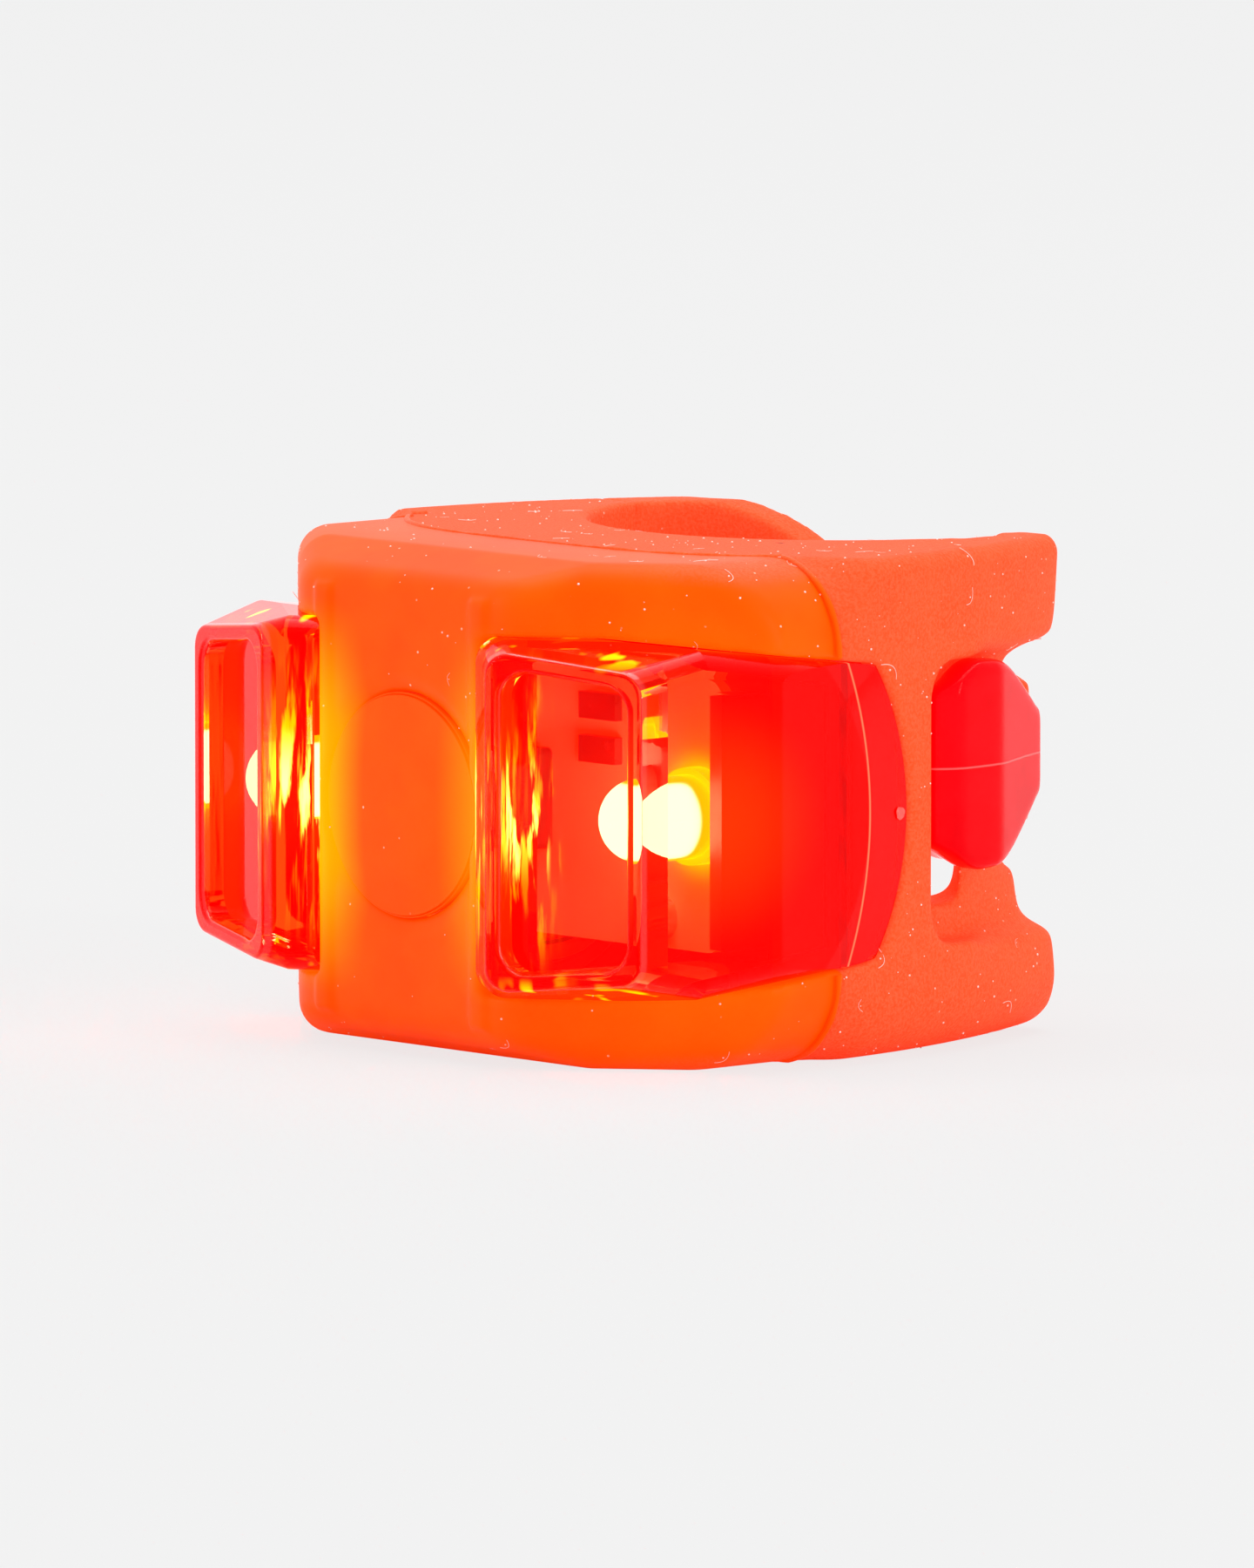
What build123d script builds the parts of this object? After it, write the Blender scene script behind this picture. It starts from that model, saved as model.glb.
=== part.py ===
from build123d import *
import math
import os

# Silicone-jacketed bike tail light, in millimetres, +Z up.
# X runs across the light, Y from the button face back to the strap, Z along the bicycle's tube.
# The pieces are modelled with Y zero on the button face and Z zero at mid-height.
# At the end they are set down with the origin under the middle of the whole light.

# Outer form of the jacket
body_width = 43.6
body_height = 30.0
panel_drop = 1.5
shoulder_start_inset = 12.6
shoulder_end_y = 10.6
panel_round = 5.0
brow_y = 4.5
parting_y = 15.5
parting_step = 0.35
corner_radius = 5.5
front_edge_round = 2.0
side_sweep_radius = 52.0
ear_end_y = 37.8

# Working values for cuts and for finding corners
overrun = 1.0
near = 0.02

# Silicone skin and what shows in it
skin = 1.6
skin_fit = 0.05
saddle_skin = 1.2
panel_rib_inset = 14.9
panel_rib_width = 1.5
panel_rib_height = 0.3
panel_rib_drop = 0.8
back_window_width = 18.0
back_window_height = 15.0
back_window_round = 3.0

# Tube loop and strap
saddle_front_y = 20.0
saddle_radius = 15.0
loop_back_y = 39.5
loop_back_margin = 5.2
loop_corner_round = 5.0
strap_split_y = 32.0
strap_split_gap = 0.02
strap_back_y = 42.0
strap_back_margin = 5.9
strap_corner_round = 5.0
taper_start_inset = 6.8
taper_end_inset = 15.8
strap_end_inset = 6.2
strap_tip_drop = 1.7
strap_tip_rise = 1.8

# Hook ear
ear_split_y = 22.2
ear_arm_inset = 8.4
channel_margin = 6.6
channel_front_y = 23.4
channel_depth = 2.0
channel_round = 2.0
slot_drop = 2.1
bar_outer_y = 28.0
bar_lean_angle = 39.0
bar_end_y = 33.6
arm_curl_length = 2.5
arm_curl_drop = 2.8
arm_curl_share = 0.29
arm_end_round = 0.4

# Hook
hook_drop = 0.3
hook_clearance = 0.3
hook_front_y = 23.9
hook_front_thickness = 1.0
hook_front_round = 2.6
hook_flank_inset = 0.5
hook_flank_y = 25.5
hook_flank_round = 0.6
hook_ridge_inset = 0.9
hook_ridge_y = 29.1
hook_ridge_round = 1.5
hook_oval_y = 27.6
hook_oval_length = 9.2
hook_rim_start = 0.6
hook_root_inset = 1.0
hook_rim_share = 0.9
hook_shoulder_inset = 4.5
hook_shoulder_y = 35.7
hook_round = 0.35
hook_tip_length = 2.6
tang_length = 4.6
tang_thickness = 1.2
tang_drop = 1.5

# Button
button_margin = 6.95
button_gap = 0.15
button_flare_width = 1.2
button_flare_depth = 0.4
button_dome_height = 0.5
button_travel = 0.5
button_stop_gap = 0.05
button_post_diameter = 4.0
button_post_end_y = 4.6
post_hole_gap = 0.4

# Clear lens moulding
lens_wall = 1.3
lens_inner_inset = 14.5
lens_inner_y = -0.6
rim_inner_inset = 11.8
rim_inner_y = -2.24
rim_outer_inset = 1.9
rim_outer_y = 1.0
rim_inner_drop = 0.5
rim_outer_drop = 1.5
rim_width = 0.95
rim_recess = 1.5
rim_corner_round = 1.6
rim_edge_round = 0.35
draft_angle = 15.6
lens_margin = 4.4
lens_taper_start_y = 4.0
lens_taper_end_y = 18.5
lens_end_drop = 1.9
lens_end_y = 21.0
lens_bevel_length = 3.4
lens_bevel_depth = 0.5
lens_gap = 0.05
cup_end_y = 16.9
cup_rim_depth = 2.0

# Rear shell, its tray and the seal
seal_thickness = 0.5
tray_gap = 0.15
tray_wall = 1.0
wing_front_y = 7.4
wing_inner_inset = 4.2
wing_margin = 7.5
cell_ring_wall = 0.9
cell_ring_gap = 0.15
contact_notch_gap = 0.3

# Circuit board and what stands on it
board_front_y = 9.6
board_thickness = 0.8
board_side_margin = 4.3
board_margin = 6.9
board_corner_round = 1.5
lead_hole_gap = 0.05
screw_lead_distance = 3.4
screw_edge = 1.8
screw_diameter = 1.6
screw_length = 5.0
screw_head_diameter = 2.8
screw_head_height = 0.9
screw_hole_gap = 0.1
boss_diameter = 3.6

# Light-emitting diodes
led_inset = 6.4
led_diameter = 5.0
led_height = 6.6
led_flange_diameter = 5.8
led_flange_height = 1.0
lead_diameter = 0.5
lead_pitch = 2.54
lead_stub = 0.3

# Press switch
switch_size = 6.0
switch_height = 3.5
switch_round = 0.4
plunger_diameter = 3.4
plunger_bore_gap = 0.05
plunger_insertion = 0.9
plunger_touch_gap = 0.05

# Controller and resistors
chip_x = -7.4
chip_z = 4.6
chip_width = 4.9
chip_height = 3.9
chip_thickness = 1.4
chip_stand_off = 0.1
chip_leg_width = 0.4
chip_leg_pitch = 1.27
chip_leg_length = 1.0
chip_leg_thickness = 0.2
resistor_x = 7.6
resistor_z = 4.6
resistor_pitch = 2.6
resistor_length = 3.2
resistor_width = 1.6
resistor_thickness = 0.6

# Coin cells and their contacts
cell_margin = 5.0
cell_thickness = 3.2
cell_rim = 1.2
cell_cap_rise = 0.3
cell_cap_depth = 1.2
cell_gasket_width = 0.3
cell_edge_round = 0.3
spring_width = 3.0
spring_length = 11.0
spring_thickness = 0.15
spring_bow = 0.35
strip_width = 4.0
strip_thickness = 0.2
strip_pad_end_x = 3.0
strip_leg_gap = 0.55

half_width = body_width / 2
shoulder_start_x = half_width - shoulder_start_inset
panel_rib_x = half_width - panel_rib_inset
taper_end_x = half_width - taper_end_inset
strap_end_x = half_width - strap_end_inset
ear_arm_x = half_width - ear_arm_inset
hook_flank_x = half_width - hook_flank_inset
hook_ridge_x = half_width - hook_ridge_inset
hook_shoulder_x = half_width - hook_shoulder_inset
lens_inner_x = half_width - lens_inner_inset
rim_inner_x = half_width - rim_inner_inset
rim_outer_x = half_width - rim_outer_inset
wing_inner_x = half_width - wing_inner_inset
led_x = half_width - led_inset
taper_start_x = taper_start_inset - half_width
loop_back_radius = half_width + loop_back_margin
strap_back_radius = half_width + strap_back_margin
panel_height = body_height - 2 * panel_drop
lens_height = body_height - 2 * lens_margin
rim_inner_height = lens_height - 2 * rim_inner_drop
rim_outer_height = lens_height - 2 * rim_outer_drop
lens_end_height = lens_height - 2 * lens_end_drop
panel_rib_length = panel_height - 2 * panel_rib_drop
channel_height = body_height - 2 * channel_margin
slot_height = channel_height - 2 * slot_drop
hook_height = slot_height - 2 * hook_drop
strap_tip_height = hook_height - 2 * strap_tip_drop
tang_height = strap_tip_height - 2 * tang_drop
cell_diameter = body_height - 2 * cell_margin
cell_cap_diameter = cell_diameter - 2 * cell_rim
board_height = body_height - 2 * board_margin
board_width = body_width - 2 * board_side_margin
wing_height = body_height - 2 * wing_margin
button_diameter = panel_height - 2 * button_margin
screw_x = led_x - screw_lead_distance
screw_z = board_height / 2 - screw_edge
button_flare_diameter = button_diameter + 2 * button_flare_width
front_half_width = half_width - parting_step
half_height = body_height / 2
saddle_centre_y = saddle_front_y + saddle_radius
shell_inset = skin + skin_fit
cavity_inset = shell_inset + lens_wall
board_back_y = board_front_y + board_thickness
cell_front_y = board_back_y + spring_bow
cell_back_y = cell_front_y + 2 * cell_thickness
tray_floor_y = cell_back_y + strip_thickness
switch_front_y = board_front_y - switch_height
cell_ring_radius = cell_diameter / 2 + cell_ring_gap
lens_end_sag = lens_end_y - lens_taper_end_y
lens_end_radius = ((lens_end_height / 2) ** 2 + lens_end_sag**2) / (2 * lens_end_sag)
strip_leg_x = -(cell_diameter / 2 + strip_leg_gap)


def upright(sketch, reach=body_height):
    """Prism along Z through an outline drawn in X and Y."""
    return extrude(sketch, amount=reach, both=True)


def crosswise(sketch, reach=body_width):
    """Prism along X through an outline drawn in Y and Z."""
    return extrude(Plane.YZ * sketch, amount=reach, both=True)


def section_at(y, sketch):
    """An outline drawn in X and Z, set at a place along Y."""
    return Plane((0, y, 0), x_dir=(1, 0, 0), z_dir=(0, -1, 0)) * sketch


def between(sketch, start_y, end_y):
    """Prism along Y, from one Y to another, through an outline drawn in X and Z."""
    return extrude(section_at(start_y, sketch), amount=start_y - end_y)


def slab(start_y, end_y):
    """Everything between two Y values."""
    return between(Rectangle(2 * body_width, 2 * body_height), start_y, end_y)


def rod(diameter, x, z, start_y, end_y):
    """Round bar along Y."""
    return between(Pos(x, z) * Circle(diameter / 2), start_y, end_y)


def bar(width, height, x, z, start_y, end_y):
    """Straight bar of rectangular section along Y."""
    return between(Pos(x, z) * Rectangle(width, height), start_y, end_y)


def with_mirror(shape):
    """The shape together with its mirror image across the light."""
    return shape + mirror(shape, about=Plane.YZ)


def corners_at(sketch, x, y):
    """Corners of an outline at a place and at its mirror image."""
    return [v for v in sketch.vertices() if abs(abs(v.X) - x) < near and abs(v.Y - y) < near]


def side_x(y):
    """Half-width of the jacket behind the parting line."""
    return half_width - side_sweep_radius + math.sqrt(side_sweep_radius**2 - (y - parting_y) ** 2)


def front_height(y):
    """Half-height of the jacket between the panel and the brow, where top and underside go level."""
    front = panel_height / 2
    return front + (half_height - front) * y / brow_y


def front_plan(inset, end_y):
    """From above: the button panel, the sloping shoulders and straight sides."""
    half = make_face(
        Polyline(
            (0, 0),
            (shoulder_start_x, 0),
            (front_half_width, shoulder_end_y),
            (front_half_width, end_y + inset),
            (0, end_y + inset),
            (0, 0),
        )
    )
    plan = half + mirror(half, about=Plane.YZ)
    if inset:
        return offset(plan, amount=-inset, kind=Kind.INTERSECTION)
    return fillet(corners_at(plan, shoulder_start_x, 0), panel_round)


def front_form(inset, end_y):
    """The front half of the jacket, shrunk by an inset, from the panel back to a given depth."""
    ends = [
        section_at(
            y,
            RectangleRounded(
                2 * (front_half_width - inset), 2 * (front_height(y) - inset), corner_radius - inset
            ),
        )
        for y in (-overrun, brow_y)
    ]
    level_part = extrude(ends[1], amount=brow_y - end_y)
    return upright(front_plan(inset, end_y)) & (loft(ends, ruled=True) + level_part)


def rear_plan(end_y):
    """From above, behind the parting line: sides that sweep in as far as a given depth."""
    edges = Line((0, parting_y), (half_width, parting_y))
    edges += TangentArc((half_width, parting_y), (side_x(end_y), end_y), tangent=(0, 1))
    edges += Polyline((side_x(end_y), end_y), (0, end_y), (0, parting_y))
    half = make_face(edges)
    return half + mirror(half, about=Plane.YZ)


def rear_form(end_y):
    """The rear half of the jacket, its long edges rounded all along the swept sides."""
    form = upright(rear_plan(end_y), half_height)
    sides = [
        e
        for e in form.edges()
        if abs(abs(e.center().Z) - half_height) < near and abs(e.center().X) > side_x(end_y)
    ]
    return fillet(sides, corner_radius)


def jacket_form():
    """The outside of the jacket: rounded front rims and a step at the mould's parting line."""
    front = front_form(0, parting_y)
    rims = []
    for edge in front.edges():
        middle = edge.center()
        level = abs(middle.Z) > panel_height / 4 and middle.Y < shoulder_end_y - near
        level = level and abs(middle.Y - brow_y) > near
        shoulder = abs(abs(middle.X) - front_half_width) < near and abs(middle.Y - shoulder_end_y) < near
        if level or shoulder:
            rims.append(edge)
    front = fillet(rims, front_edge_round)
    return front + rear_form(ear_end_y)


def tube_hole():
    """The oval that the tube goes through: a saddle arc in front and a flatter arc behind."""
    saddle = Pos(0, saddle_centre_y) * Circle(saddle_radius)
    back = Pos(0, loop_back_y - loop_back_radius) * Circle(loop_back_radius)
    oval = saddle & back
    return fillet(oval.vertices(), loop_corner_round)


def lens_plan(inset):
    """The right lens block from above, from its root beside the panel to its side wall."""
    outline = make_face(
        Polyline(
            (lens_inner_x, parting_y),
            (lens_inner_x, lens_inner_y),
            (rim_inner_x, rim_inner_y),
            (rim_outer_x, rim_outer_y),
            (half_width, shoulder_end_y),
            (half_width, lens_end_y + overrun),
            (lens_inner_x, lens_end_y + overrun),
            (lens_inner_x, parting_y),
        )
    )
    return offset(outline, amount=-inset, kind=Kind.INTERSECTION) if inset else outline


def lens_side(inset):
    """The lens block from the side: level, then narrowing to a curved rear end."""
    front = rim_inner_y - overrun
    high, low = lens_height / 2, lens_end_height / 2
    top = Polyline((lens_taper_end_y, -low), (lens_taper_start_y, -high), (front, -high), (front, high))
    top += Polyline((front, high), (lens_taper_start_y, high), (lens_taper_end_y, low))
    end = ThreePointArc((lens_taper_end_y, low), (lens_end_y, 0), (lens_taper_end_y, -low))
    outline = make_face(top + end)
    return offset(outline, amount=-inset, kind=Kind.INTERSECTION) if inset else outline


def rim_plane(depth=0):
    """The plane of the right lens block's front face, or one behind it: X along the face, Z out of it."""
    along = Vector(rim_outer_x - rim_inner_x, rim_outer_y - rim_inner_y, 0).normalized()
    outward = Vector(along.Y, -along.X, 0)
    return Plane(Vector(rim_inner_x, rim_inner_y, 0) - outward * depth, x_dir=along, z_dir=outward)


def draft_half(inset):
    """Everything under the drafted top face of the right lens block, lowered by an inset."""
    inner = Vector(rim_inner_x, rim_inner_y, rim_inner_height / 2)
    outer = Vector(rim_outer_x, rim_outer_y, rim_outer_height / 2)
    rise = math.tan(math.radians(draft_angle))
    backward = Vector(0, 0, rise) - rim_plane().z_dir
    face = Plane(origin=inner, x_dir=outer - inner, z_dir=(outer - inner).cross(backward))
    reach = 4 * body_width
    return extrude(face.offset(-inset) * Rectangle(reach, reach), amount=-reach)


def lens_block(inset=0, setback=0):
    """The right lens block, shrunk by an inset, its front face set back by a given depth."""
    reach = 4 * body_width
    form = upright(lens_plan(inset)) & crosswise(lens_side(inset))
    form &= extrude(rim_plane(setback) * Rectangle(reach, reach), amount=-reach)
    under = draft_half(inset)
    return form & under & mirror(under, about=Plane.XY)


def rounded_lens_block():
    """The right lens block with its four long front corners rounded."""
    form = lens_block()
    corners = []
    for edge in form.edges():
        middle = edge.center()
        level = abs((edge @ 1 - edge @ 0).Z) < edge.length / 2
        inner = rim_inner_x > middle.X > lens_inner_x + near and middle.Y < lens_inner_y
        outer = middle.X > rim_outer_x + near and middle.Y < shoulder_end_y and abs(middle.Z) > near
        if level and (inner or outer):
            corners.append(edge)
    return fillet(corners, rim_corner_round)


def lens_bevel():
    """What the bevel takes off the rear end of the right lens block's side."""
    profile = make_face(
        Polyline(
            (half_width + overrun, lens_end_radius - lens_bevel_length * (1 + overrun / lens_bevel_depth)),
            (half_width - lens_bevel_depth, lens_end_radius),
            (half_width - lens_bevel_depth, lens_end_radius + overrun),
            (half_width + overrun, lens_end_radius + overrun),
            (half_width + overrun, lens_end_radius - lens_bevel_length * (1 + overrun / lens_bevel_depth)),
        )
    )
    centre_y = lens_end_y - lens_end_radius
    ring = revolve(Plane((0, centre_y, 0)) * profile, axis=Axis((0, centre_y, 0), (1, 0, 0)))
    return ring & slab(parting_y - lens_bevel_length, lens_end_y + overrun)


def rim_recess_cut():
    """The tray sunk into the front face, leaving a narrow rim."""
    slope = (rim_outer_height - rim_inner_height) / 2
    length = math.hypot(rim_outer_x - rim_inner_x, rim_outer_y - rim_inner_y)
    high = rim_inner_height / 2 - rim_width + slope * rim_width / length
    low = rim_outer_height / 2 - rim_width - slope * rim_width / length
    outline = make_face(
        Polyline(
            (rim_width, -high),
            (length - rim_width, -low),
            (length - rim_width, low),
            (rim_width, high),
            (rim_width, -high),
        )
    )
    outline = fillet(outline.vertices(), rim_corner_round)
    return extrude(rim_plane() * outline, amount=rim_recess, both=True)


def finished_lens_block():
    """The right lens block, its side bevelled, its front sunk and the rim's edges rounded over."""
    block = rounded_lens_block() - lens_bevel() - rim_recess_cut()
    plane = rim_plane()
    rims = [
        e
        for e in block.edges()
        if max(abs((e @ part - plane.origin).dot(plane.z_dir)) for part in (0, 0.5, 1)) < near
    ]
    return fillet(rims, rim_edge_round)


def back_half():
    """Everything in front of the saddle that the capsule's back follows."""
    centre = Pos(0, saddle_centre_y) * Circle(saddle_radius + saddle_skin)
    return slab(0, lens_end_y) - upright(centre)


def capsule():
    """The outside of the hard capsule, without its lens blocks."""
    return front_form(shell_inset, lens_end_y) & back_half()


def make_lens_shell():
    """One clear red moulding: a cup with two hollow lens blocks that stand out of the jacket."""
    cup = capsule() & slab(0, cup_end_y)
    blocks = with_mirror(finished_lens_block())
    behind = bar(2 * (half_width - skin), 2 * body_height, 0, 0, cup_end_y, ear_end_y)
    hollow = front_form(cavity_inset, lens_end_y) & slab(0, cup_end_y + overrun)
    inner_blocks = with_mirror(lens_block(lens_wall, rim_recess + lens_wall))
    hollow += inner_blocks & slab(0, cup_end_y - cup_rim_depth)
    post_hole = rod(button_post_diameter + 2 * post_hole_gap, 0, 0, 0, cavity_inset + overrun)
    return cup + (blocks - behind) - hollow - post_hole


def tray_section(inset, start_y, end_y):
    """The space inside the lens cup, shrunk by a further inset, between two depths."""
    room = front_form(cavity_inset + inset, lens_end_y)
    sides = with_mirror(lens_block(lens_wall + inset, rim_recess + lens_wall))
    return (room + (sides & slab(0, cup_end_y - cup_rim_depth - inset))) & slab(start_y, end_y)


def make_rear_shell():
    """The opaque rear shell: saddle-shaped back, battery tray, cell ring and screw bosses."""
    back = capsule() & slab(cup_end_y + seal_thickness, lens_end_y)
    back += tray_section(tray_gap, tray_floor_y, lens_end_y) & back
    walls = tray_section(tray_gap, board_back_y + tray_gap, tray_floor_y + near)
    walls -= tray_section(tray_gap + tray_wall, board_back_y, tray_floor_y)
    wings = tray_section(tray_gap, wing_front_y, board_back_y + tray_wall)
    wings -= tray_section(tray_gap + tray_wall, 0, board_back_y + 2 * tray_wall)
    for side in (-1, 1):
        wing_width = half_width - wing_inner_x
        reach = bar(wing_width, wing_height, side * (wing_inner_x + wing_width / 2), 0, 0, tray_floor_y)
        walls += wings & reach
    ring_outer = 2 * (cell_ring_radius + cell_ring_wall)
    ring = rod(ring_outer, 0, 0, board_back_y + tray_gap, tray_floor_y + near)
    ring -= rod(2 * cell_ring_radius, 0, 0, board_back_y, tray_floor_y)
    floor = tray_section(tray_gap, tray_floor_y, cup_end_y + seal_thickness + near)
    shell = back + walls + floor + ring
    for side in (-1, 1):
        shell += rod(boss_diameter, side * screw_x, -side * screw_z, board_back_y, tray_floor_y + near)
        pilot_end = board_back_y + screw_length - board_thickness + screw_hole_gap
        pilot = rod(screw_diameter, side * screw_x, -side * screw_z, board_back_y - overrun, pilot_end)
        shell -= pilot
    notch = strip_width + 2 * contact_notch_gap
    shell -= bar(cell_ring_wall + 2 * overrun, notch, -cell_ring_radius, 0, board_back_y, tray_floor_y)
    return shell


def make_shell_seal():
    """The flat gasket between the lens cup's rear rim and the rear shell."""
    ring = capsule() & slab(cup_end_y, cup_end_y + seal_thickness)
    return ring - front_form(cavity_inset, lens_end_y)


def make_silicone_body():
    """The jacket around the capsule: panel, shoulders, saddle and the root of the strap."""
    body = jacket_form() - upright(tube_hole())
    body -= bar(body_width, 2 * body_height, half_width, 0, ear_split_y, ear_end_y + overrun)
    body -= bar(body_width, 2 * body_height, -half_width, 0, strap_split_y, ear_end_y + overrun)
    for side in (-1, 1):
        rib = bar(panel_rib_width, panel_rib_length, side * panel_rib_x, 0, -panel_rib_height, skin / 2)
        body += fillet(rib.edges().filter_by(Axis.Z).sort_by(Axis.Y)[:2], panel_rib_height)
    body -= capsule()
    body -= with_mirror(lens_block(-lens_gap))
    window = RectangleRounded(back_window_width, back_window_height, back_window_round)
    body -= between(window, saddle_front_y - saddle_skin - overrun, saddle_centre_y)
    body -= rod(button_diameter + 2 * button_gap, 0, 0, -overrun, skin + overrun)
    return body - button_flare()


def button_flare():
    """The shallow dished ring around the button, which stops short of the panel's ribs."""
    inner = button_diameter / 2 + button_gap
    outer = button_flare_diameter / 2
    ring = Polyline(
        (inner, button_flare_depth), (outer, 0), (outer, -overrun), (0, -overrun),
        (0, button_flare_depth), (inner, button_flare_depth),
    )
    cone = revolve(make_face(ring), axis=Axis.Y)
    return cone & bar(2 * panel_rib_x - panel_rib_width, body_height, 0, 0, -overrun, skin)


def slot_cut():
    """The slot through the ear, its rear wall leaning back towards the tube."""
    lean = math.tan(math.radians(bar_lean_angle))
    floor_x = side_x(bar_outer_y) - channel_depth
    outer_x = half_width + overrun
    outline = make_face(
        Polyline(
            (0, channel_front_y),
            (outer_x, channel_front_y),
            (outer_x, bar_outer_y - (outer_x - floor_x) * lean),
            (0, bar_outer_y + floor_x * lean),
            (0, channel_front_y),
        )
    )
    cut = upright(outline) & crosswise(Pos(channel_front_y, 0) * Rectangle(ear_end_y, slot_height))
    return cut & upright(tube_and_right_side())


def tube_and_right_side():
    """From above, all that lies on the right of the light, from the tube hole outwards."""
    return Pos(body_width / 2, saddle_front_y + ear_end_y / 2) * Rectangle(body_width, ear_end_y)


def behind_bar():
    """From the side, the gap behind the bar, whose lower edge curls down to the arm's rear end."""
    high = channel_height / 2
    low = strap_tip_rise - hook_height / 2 - hook_clearance
    curl_y = ear_end_y - arm_curl_length
    curl_middle_y = ear_end_y - arm_curl_length * arm_curl_share
    curl_middle_z = low - arm_curl_drop * arm_curl_share
    edges = Polyline(
        (curl_y, low), (bar_end_y, low), (bar_end_y, high), (ear_end_y + overrun, high),
        (ear_end_y + overrun, low - arm_curl_drop), (ear_end_y, low - arm_curl_drop),
    )
    edges += ThreePointArc((ear_end_y, low - arm_curl_drop), (curl_middle_y, curl_middle_z), (curl_y, low))
    return make_face(edges)


def channel_cut():
    """The channel sunk into the ear's outer face, in which the hook lies."""
    deep = offset(rear_plan(ear_end_y), amount=-channel_depth, kind=Kind.INTERSECTION)
    band = Pos(ear_end_y / 2 + channel_front_y, 0) * Rectangle(ear_end_y, channel_height)
    band = fillet(band.vertices().sort_by(Axis.X)[:2], channel_round)
    past_bar = crosswise(behind_bar()) & upright(tube_and_right_side())
    outer = crosswise(band) & slab(channel_front_y, ear_end_y + overrun)
    return (outer - upright(deep)) + past_bar


def make_hook_ear():
    """The ear behind the right lens: two arms joined by the bar that the hook catches."""
    ear = rear_form(ear_end_y) & slab(ear_split_y, ear_end_y)
    ear -= upright(tube_hole())
    inner = bar(body_width, 2 * body_height, 0, 0, saddle_centre_y, ear_end_y + overrun)
    inner &= bar(
        body_width, 2 * body_height, ear_arm_x - half_width, 0, saddle_centre_y, ear_end_y + overrun
    )
    left = bar(body_width, 2 * body_height, -half_width, 0, 0, ear_end_y + overrun)
    ear = ear - inner - left - channel_cut() - slot_cut()
    ends = [e for e in ear.edges() if abs(e.center().Y - ear_end_y) < near]
    return fillet(ends, arm_end_round)


def hook_plan():
    """The hook from above: a curved outer face over a face that follows the channel's floor."""
    floor_gap = channel_depth - hook_clearance
    front_x = side_x(hook_front_y) - floor_gap
    rear_y = bar_end_y + hook_clearance
    rear_x = side_x(rear_y) - floor_gap
    tang_x = hook_shoulder_x - tang_length
    edges = Polyline(
        (front_x + hook_front_thickness, hook_front_y),
        (hook_flank_x, hook_flank_y),
        (hook_ridge_x, hook_ridge_y),
        (hook_shoulder_x, hook_shoulder_y),
        (tang_x, strap_middle_y(tang_x) + tang_thickness / 2),
        (tang_x, strap_middle_y(tang_x) - tang_thickness / 2),
        (rear_x - hook_clearance, rear_y),
        (rear_x, rear_y),
    )
    edges += ThreePointArc(
        (rear_x, rear_y),
        (side_x(bar_outer_y + hook_clearance) - floor_gap, bar_outer_y + hook_clearance),
        (front_x, hook_front_y),
    )
    edges += Line((front_x, hook_front_y), (front_x + hook_front_thickness, hook_front_y))
    plan = make_face(edges)
    plan = fillet(corners_at(plan, hook_flank_x, hook_flank_y), hook_flank_round)
    return fillet(corners_at(plan, hook_ridge_x, hook_ridge_y), hook_ridge_round)


def hook_barrel():
    """The hook from the side: square in front, easing to an ellipse behind."""
    front_middle_y = (hook_front_y + hook_oval_y) / 2
    front = Pos(front_middle_y, 0) * Rectangle(hook_oval_y - hook_front_y, hook_height)
    front = fillet(front.vertices().sort_by(Axis.X)[:2], hook_front_round)
    oval = Pos(hook_oval_y, 0) * Ellipse(hook_oval_length, hook_height / 2)
    return Pos(0, strap_tip_rise) * (front + oval)


def strap_middle_y(x):
    """The middle of the strap's thickness behind the tube."""
    outer = strap_back_y - strap_back_radius + math.sqrt(strap_back_radius**2 - x**2)
    inner = loop_back_y - loop_back_radius + math.sqrt(loop_back_radius**2 - x**2)
    return (outer + inner) / 2


def hook_tip_plan():
    """The tip from above, which reaches into the slot in front of the bar."""
    lean = math.tan(math.radians(bar_lean_angle))
    root_x = side_x(hook_front_y) - channel_depth + hook_clearance
    back = bar_outer_y - hook_clearance / math.cos(math.radians(bar_lean_angle))
    floor_x = side_x(bar_outer_y) - channel_depth
    tip_x = root_x - hook_tip_length
    return make_face(
        Polyline(
            (root_x + near, hook_front_y),
            (root_x + near, back - (root_x + near - floor_x) * lean),
            (tip_x, back - (tip_x - floor_x) * lean),
            (tip_x, hook_front_y),
            (root_x + near, hook_front_y),
        )
    )


def make_strap_hook():
    """The red plastic hook: a rounded body, a tip turned into the slot and a tang in the strap."""
    reach = body_height
    outline = hook_plan()
    band = bar(body_width, hook_height, half_width, strap_tip_rise, 0, ear_end_y + reach)
    tang_band = bar(body_width, tang_height, half_width, strap_tip_rise, 0, ear_end_y + reach)
    root_x = hook_shoulder_x / 2 - hook_root_inset
    root = upright(Pos(root_x, ear_end_y) * Rectangle(hook_shoulder_x, body_height))
    grip = (upright(outline) - root) & band & crosswise(hook_barrel())
    rims = [
        e
        for e in grip.edges()
        if e.center().X > side_x(e.center().Y) - channel_depth / 2
        and e.center().Y > hook_front_y + hook_rim_start
        and abs((e @ 1 - e @ 0).Z) < e.length * hook_rim_share
    ]
    grip = fillet(rims, hook_round)
    tip_band = bar(body_width, hook_height - 2 * hook_round, half_width, strap_tip_rise, 0, ear_end_y)
    tip_band &= bar(body_width, slot_height - 2 * hook_clearance, half_width, 0, 0, ear_end_y)
    tip = upright(hook_tip_plan()) & tip_band
    tang = upright(outline) & root & tang_band
    return grip + tang + tip


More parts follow.
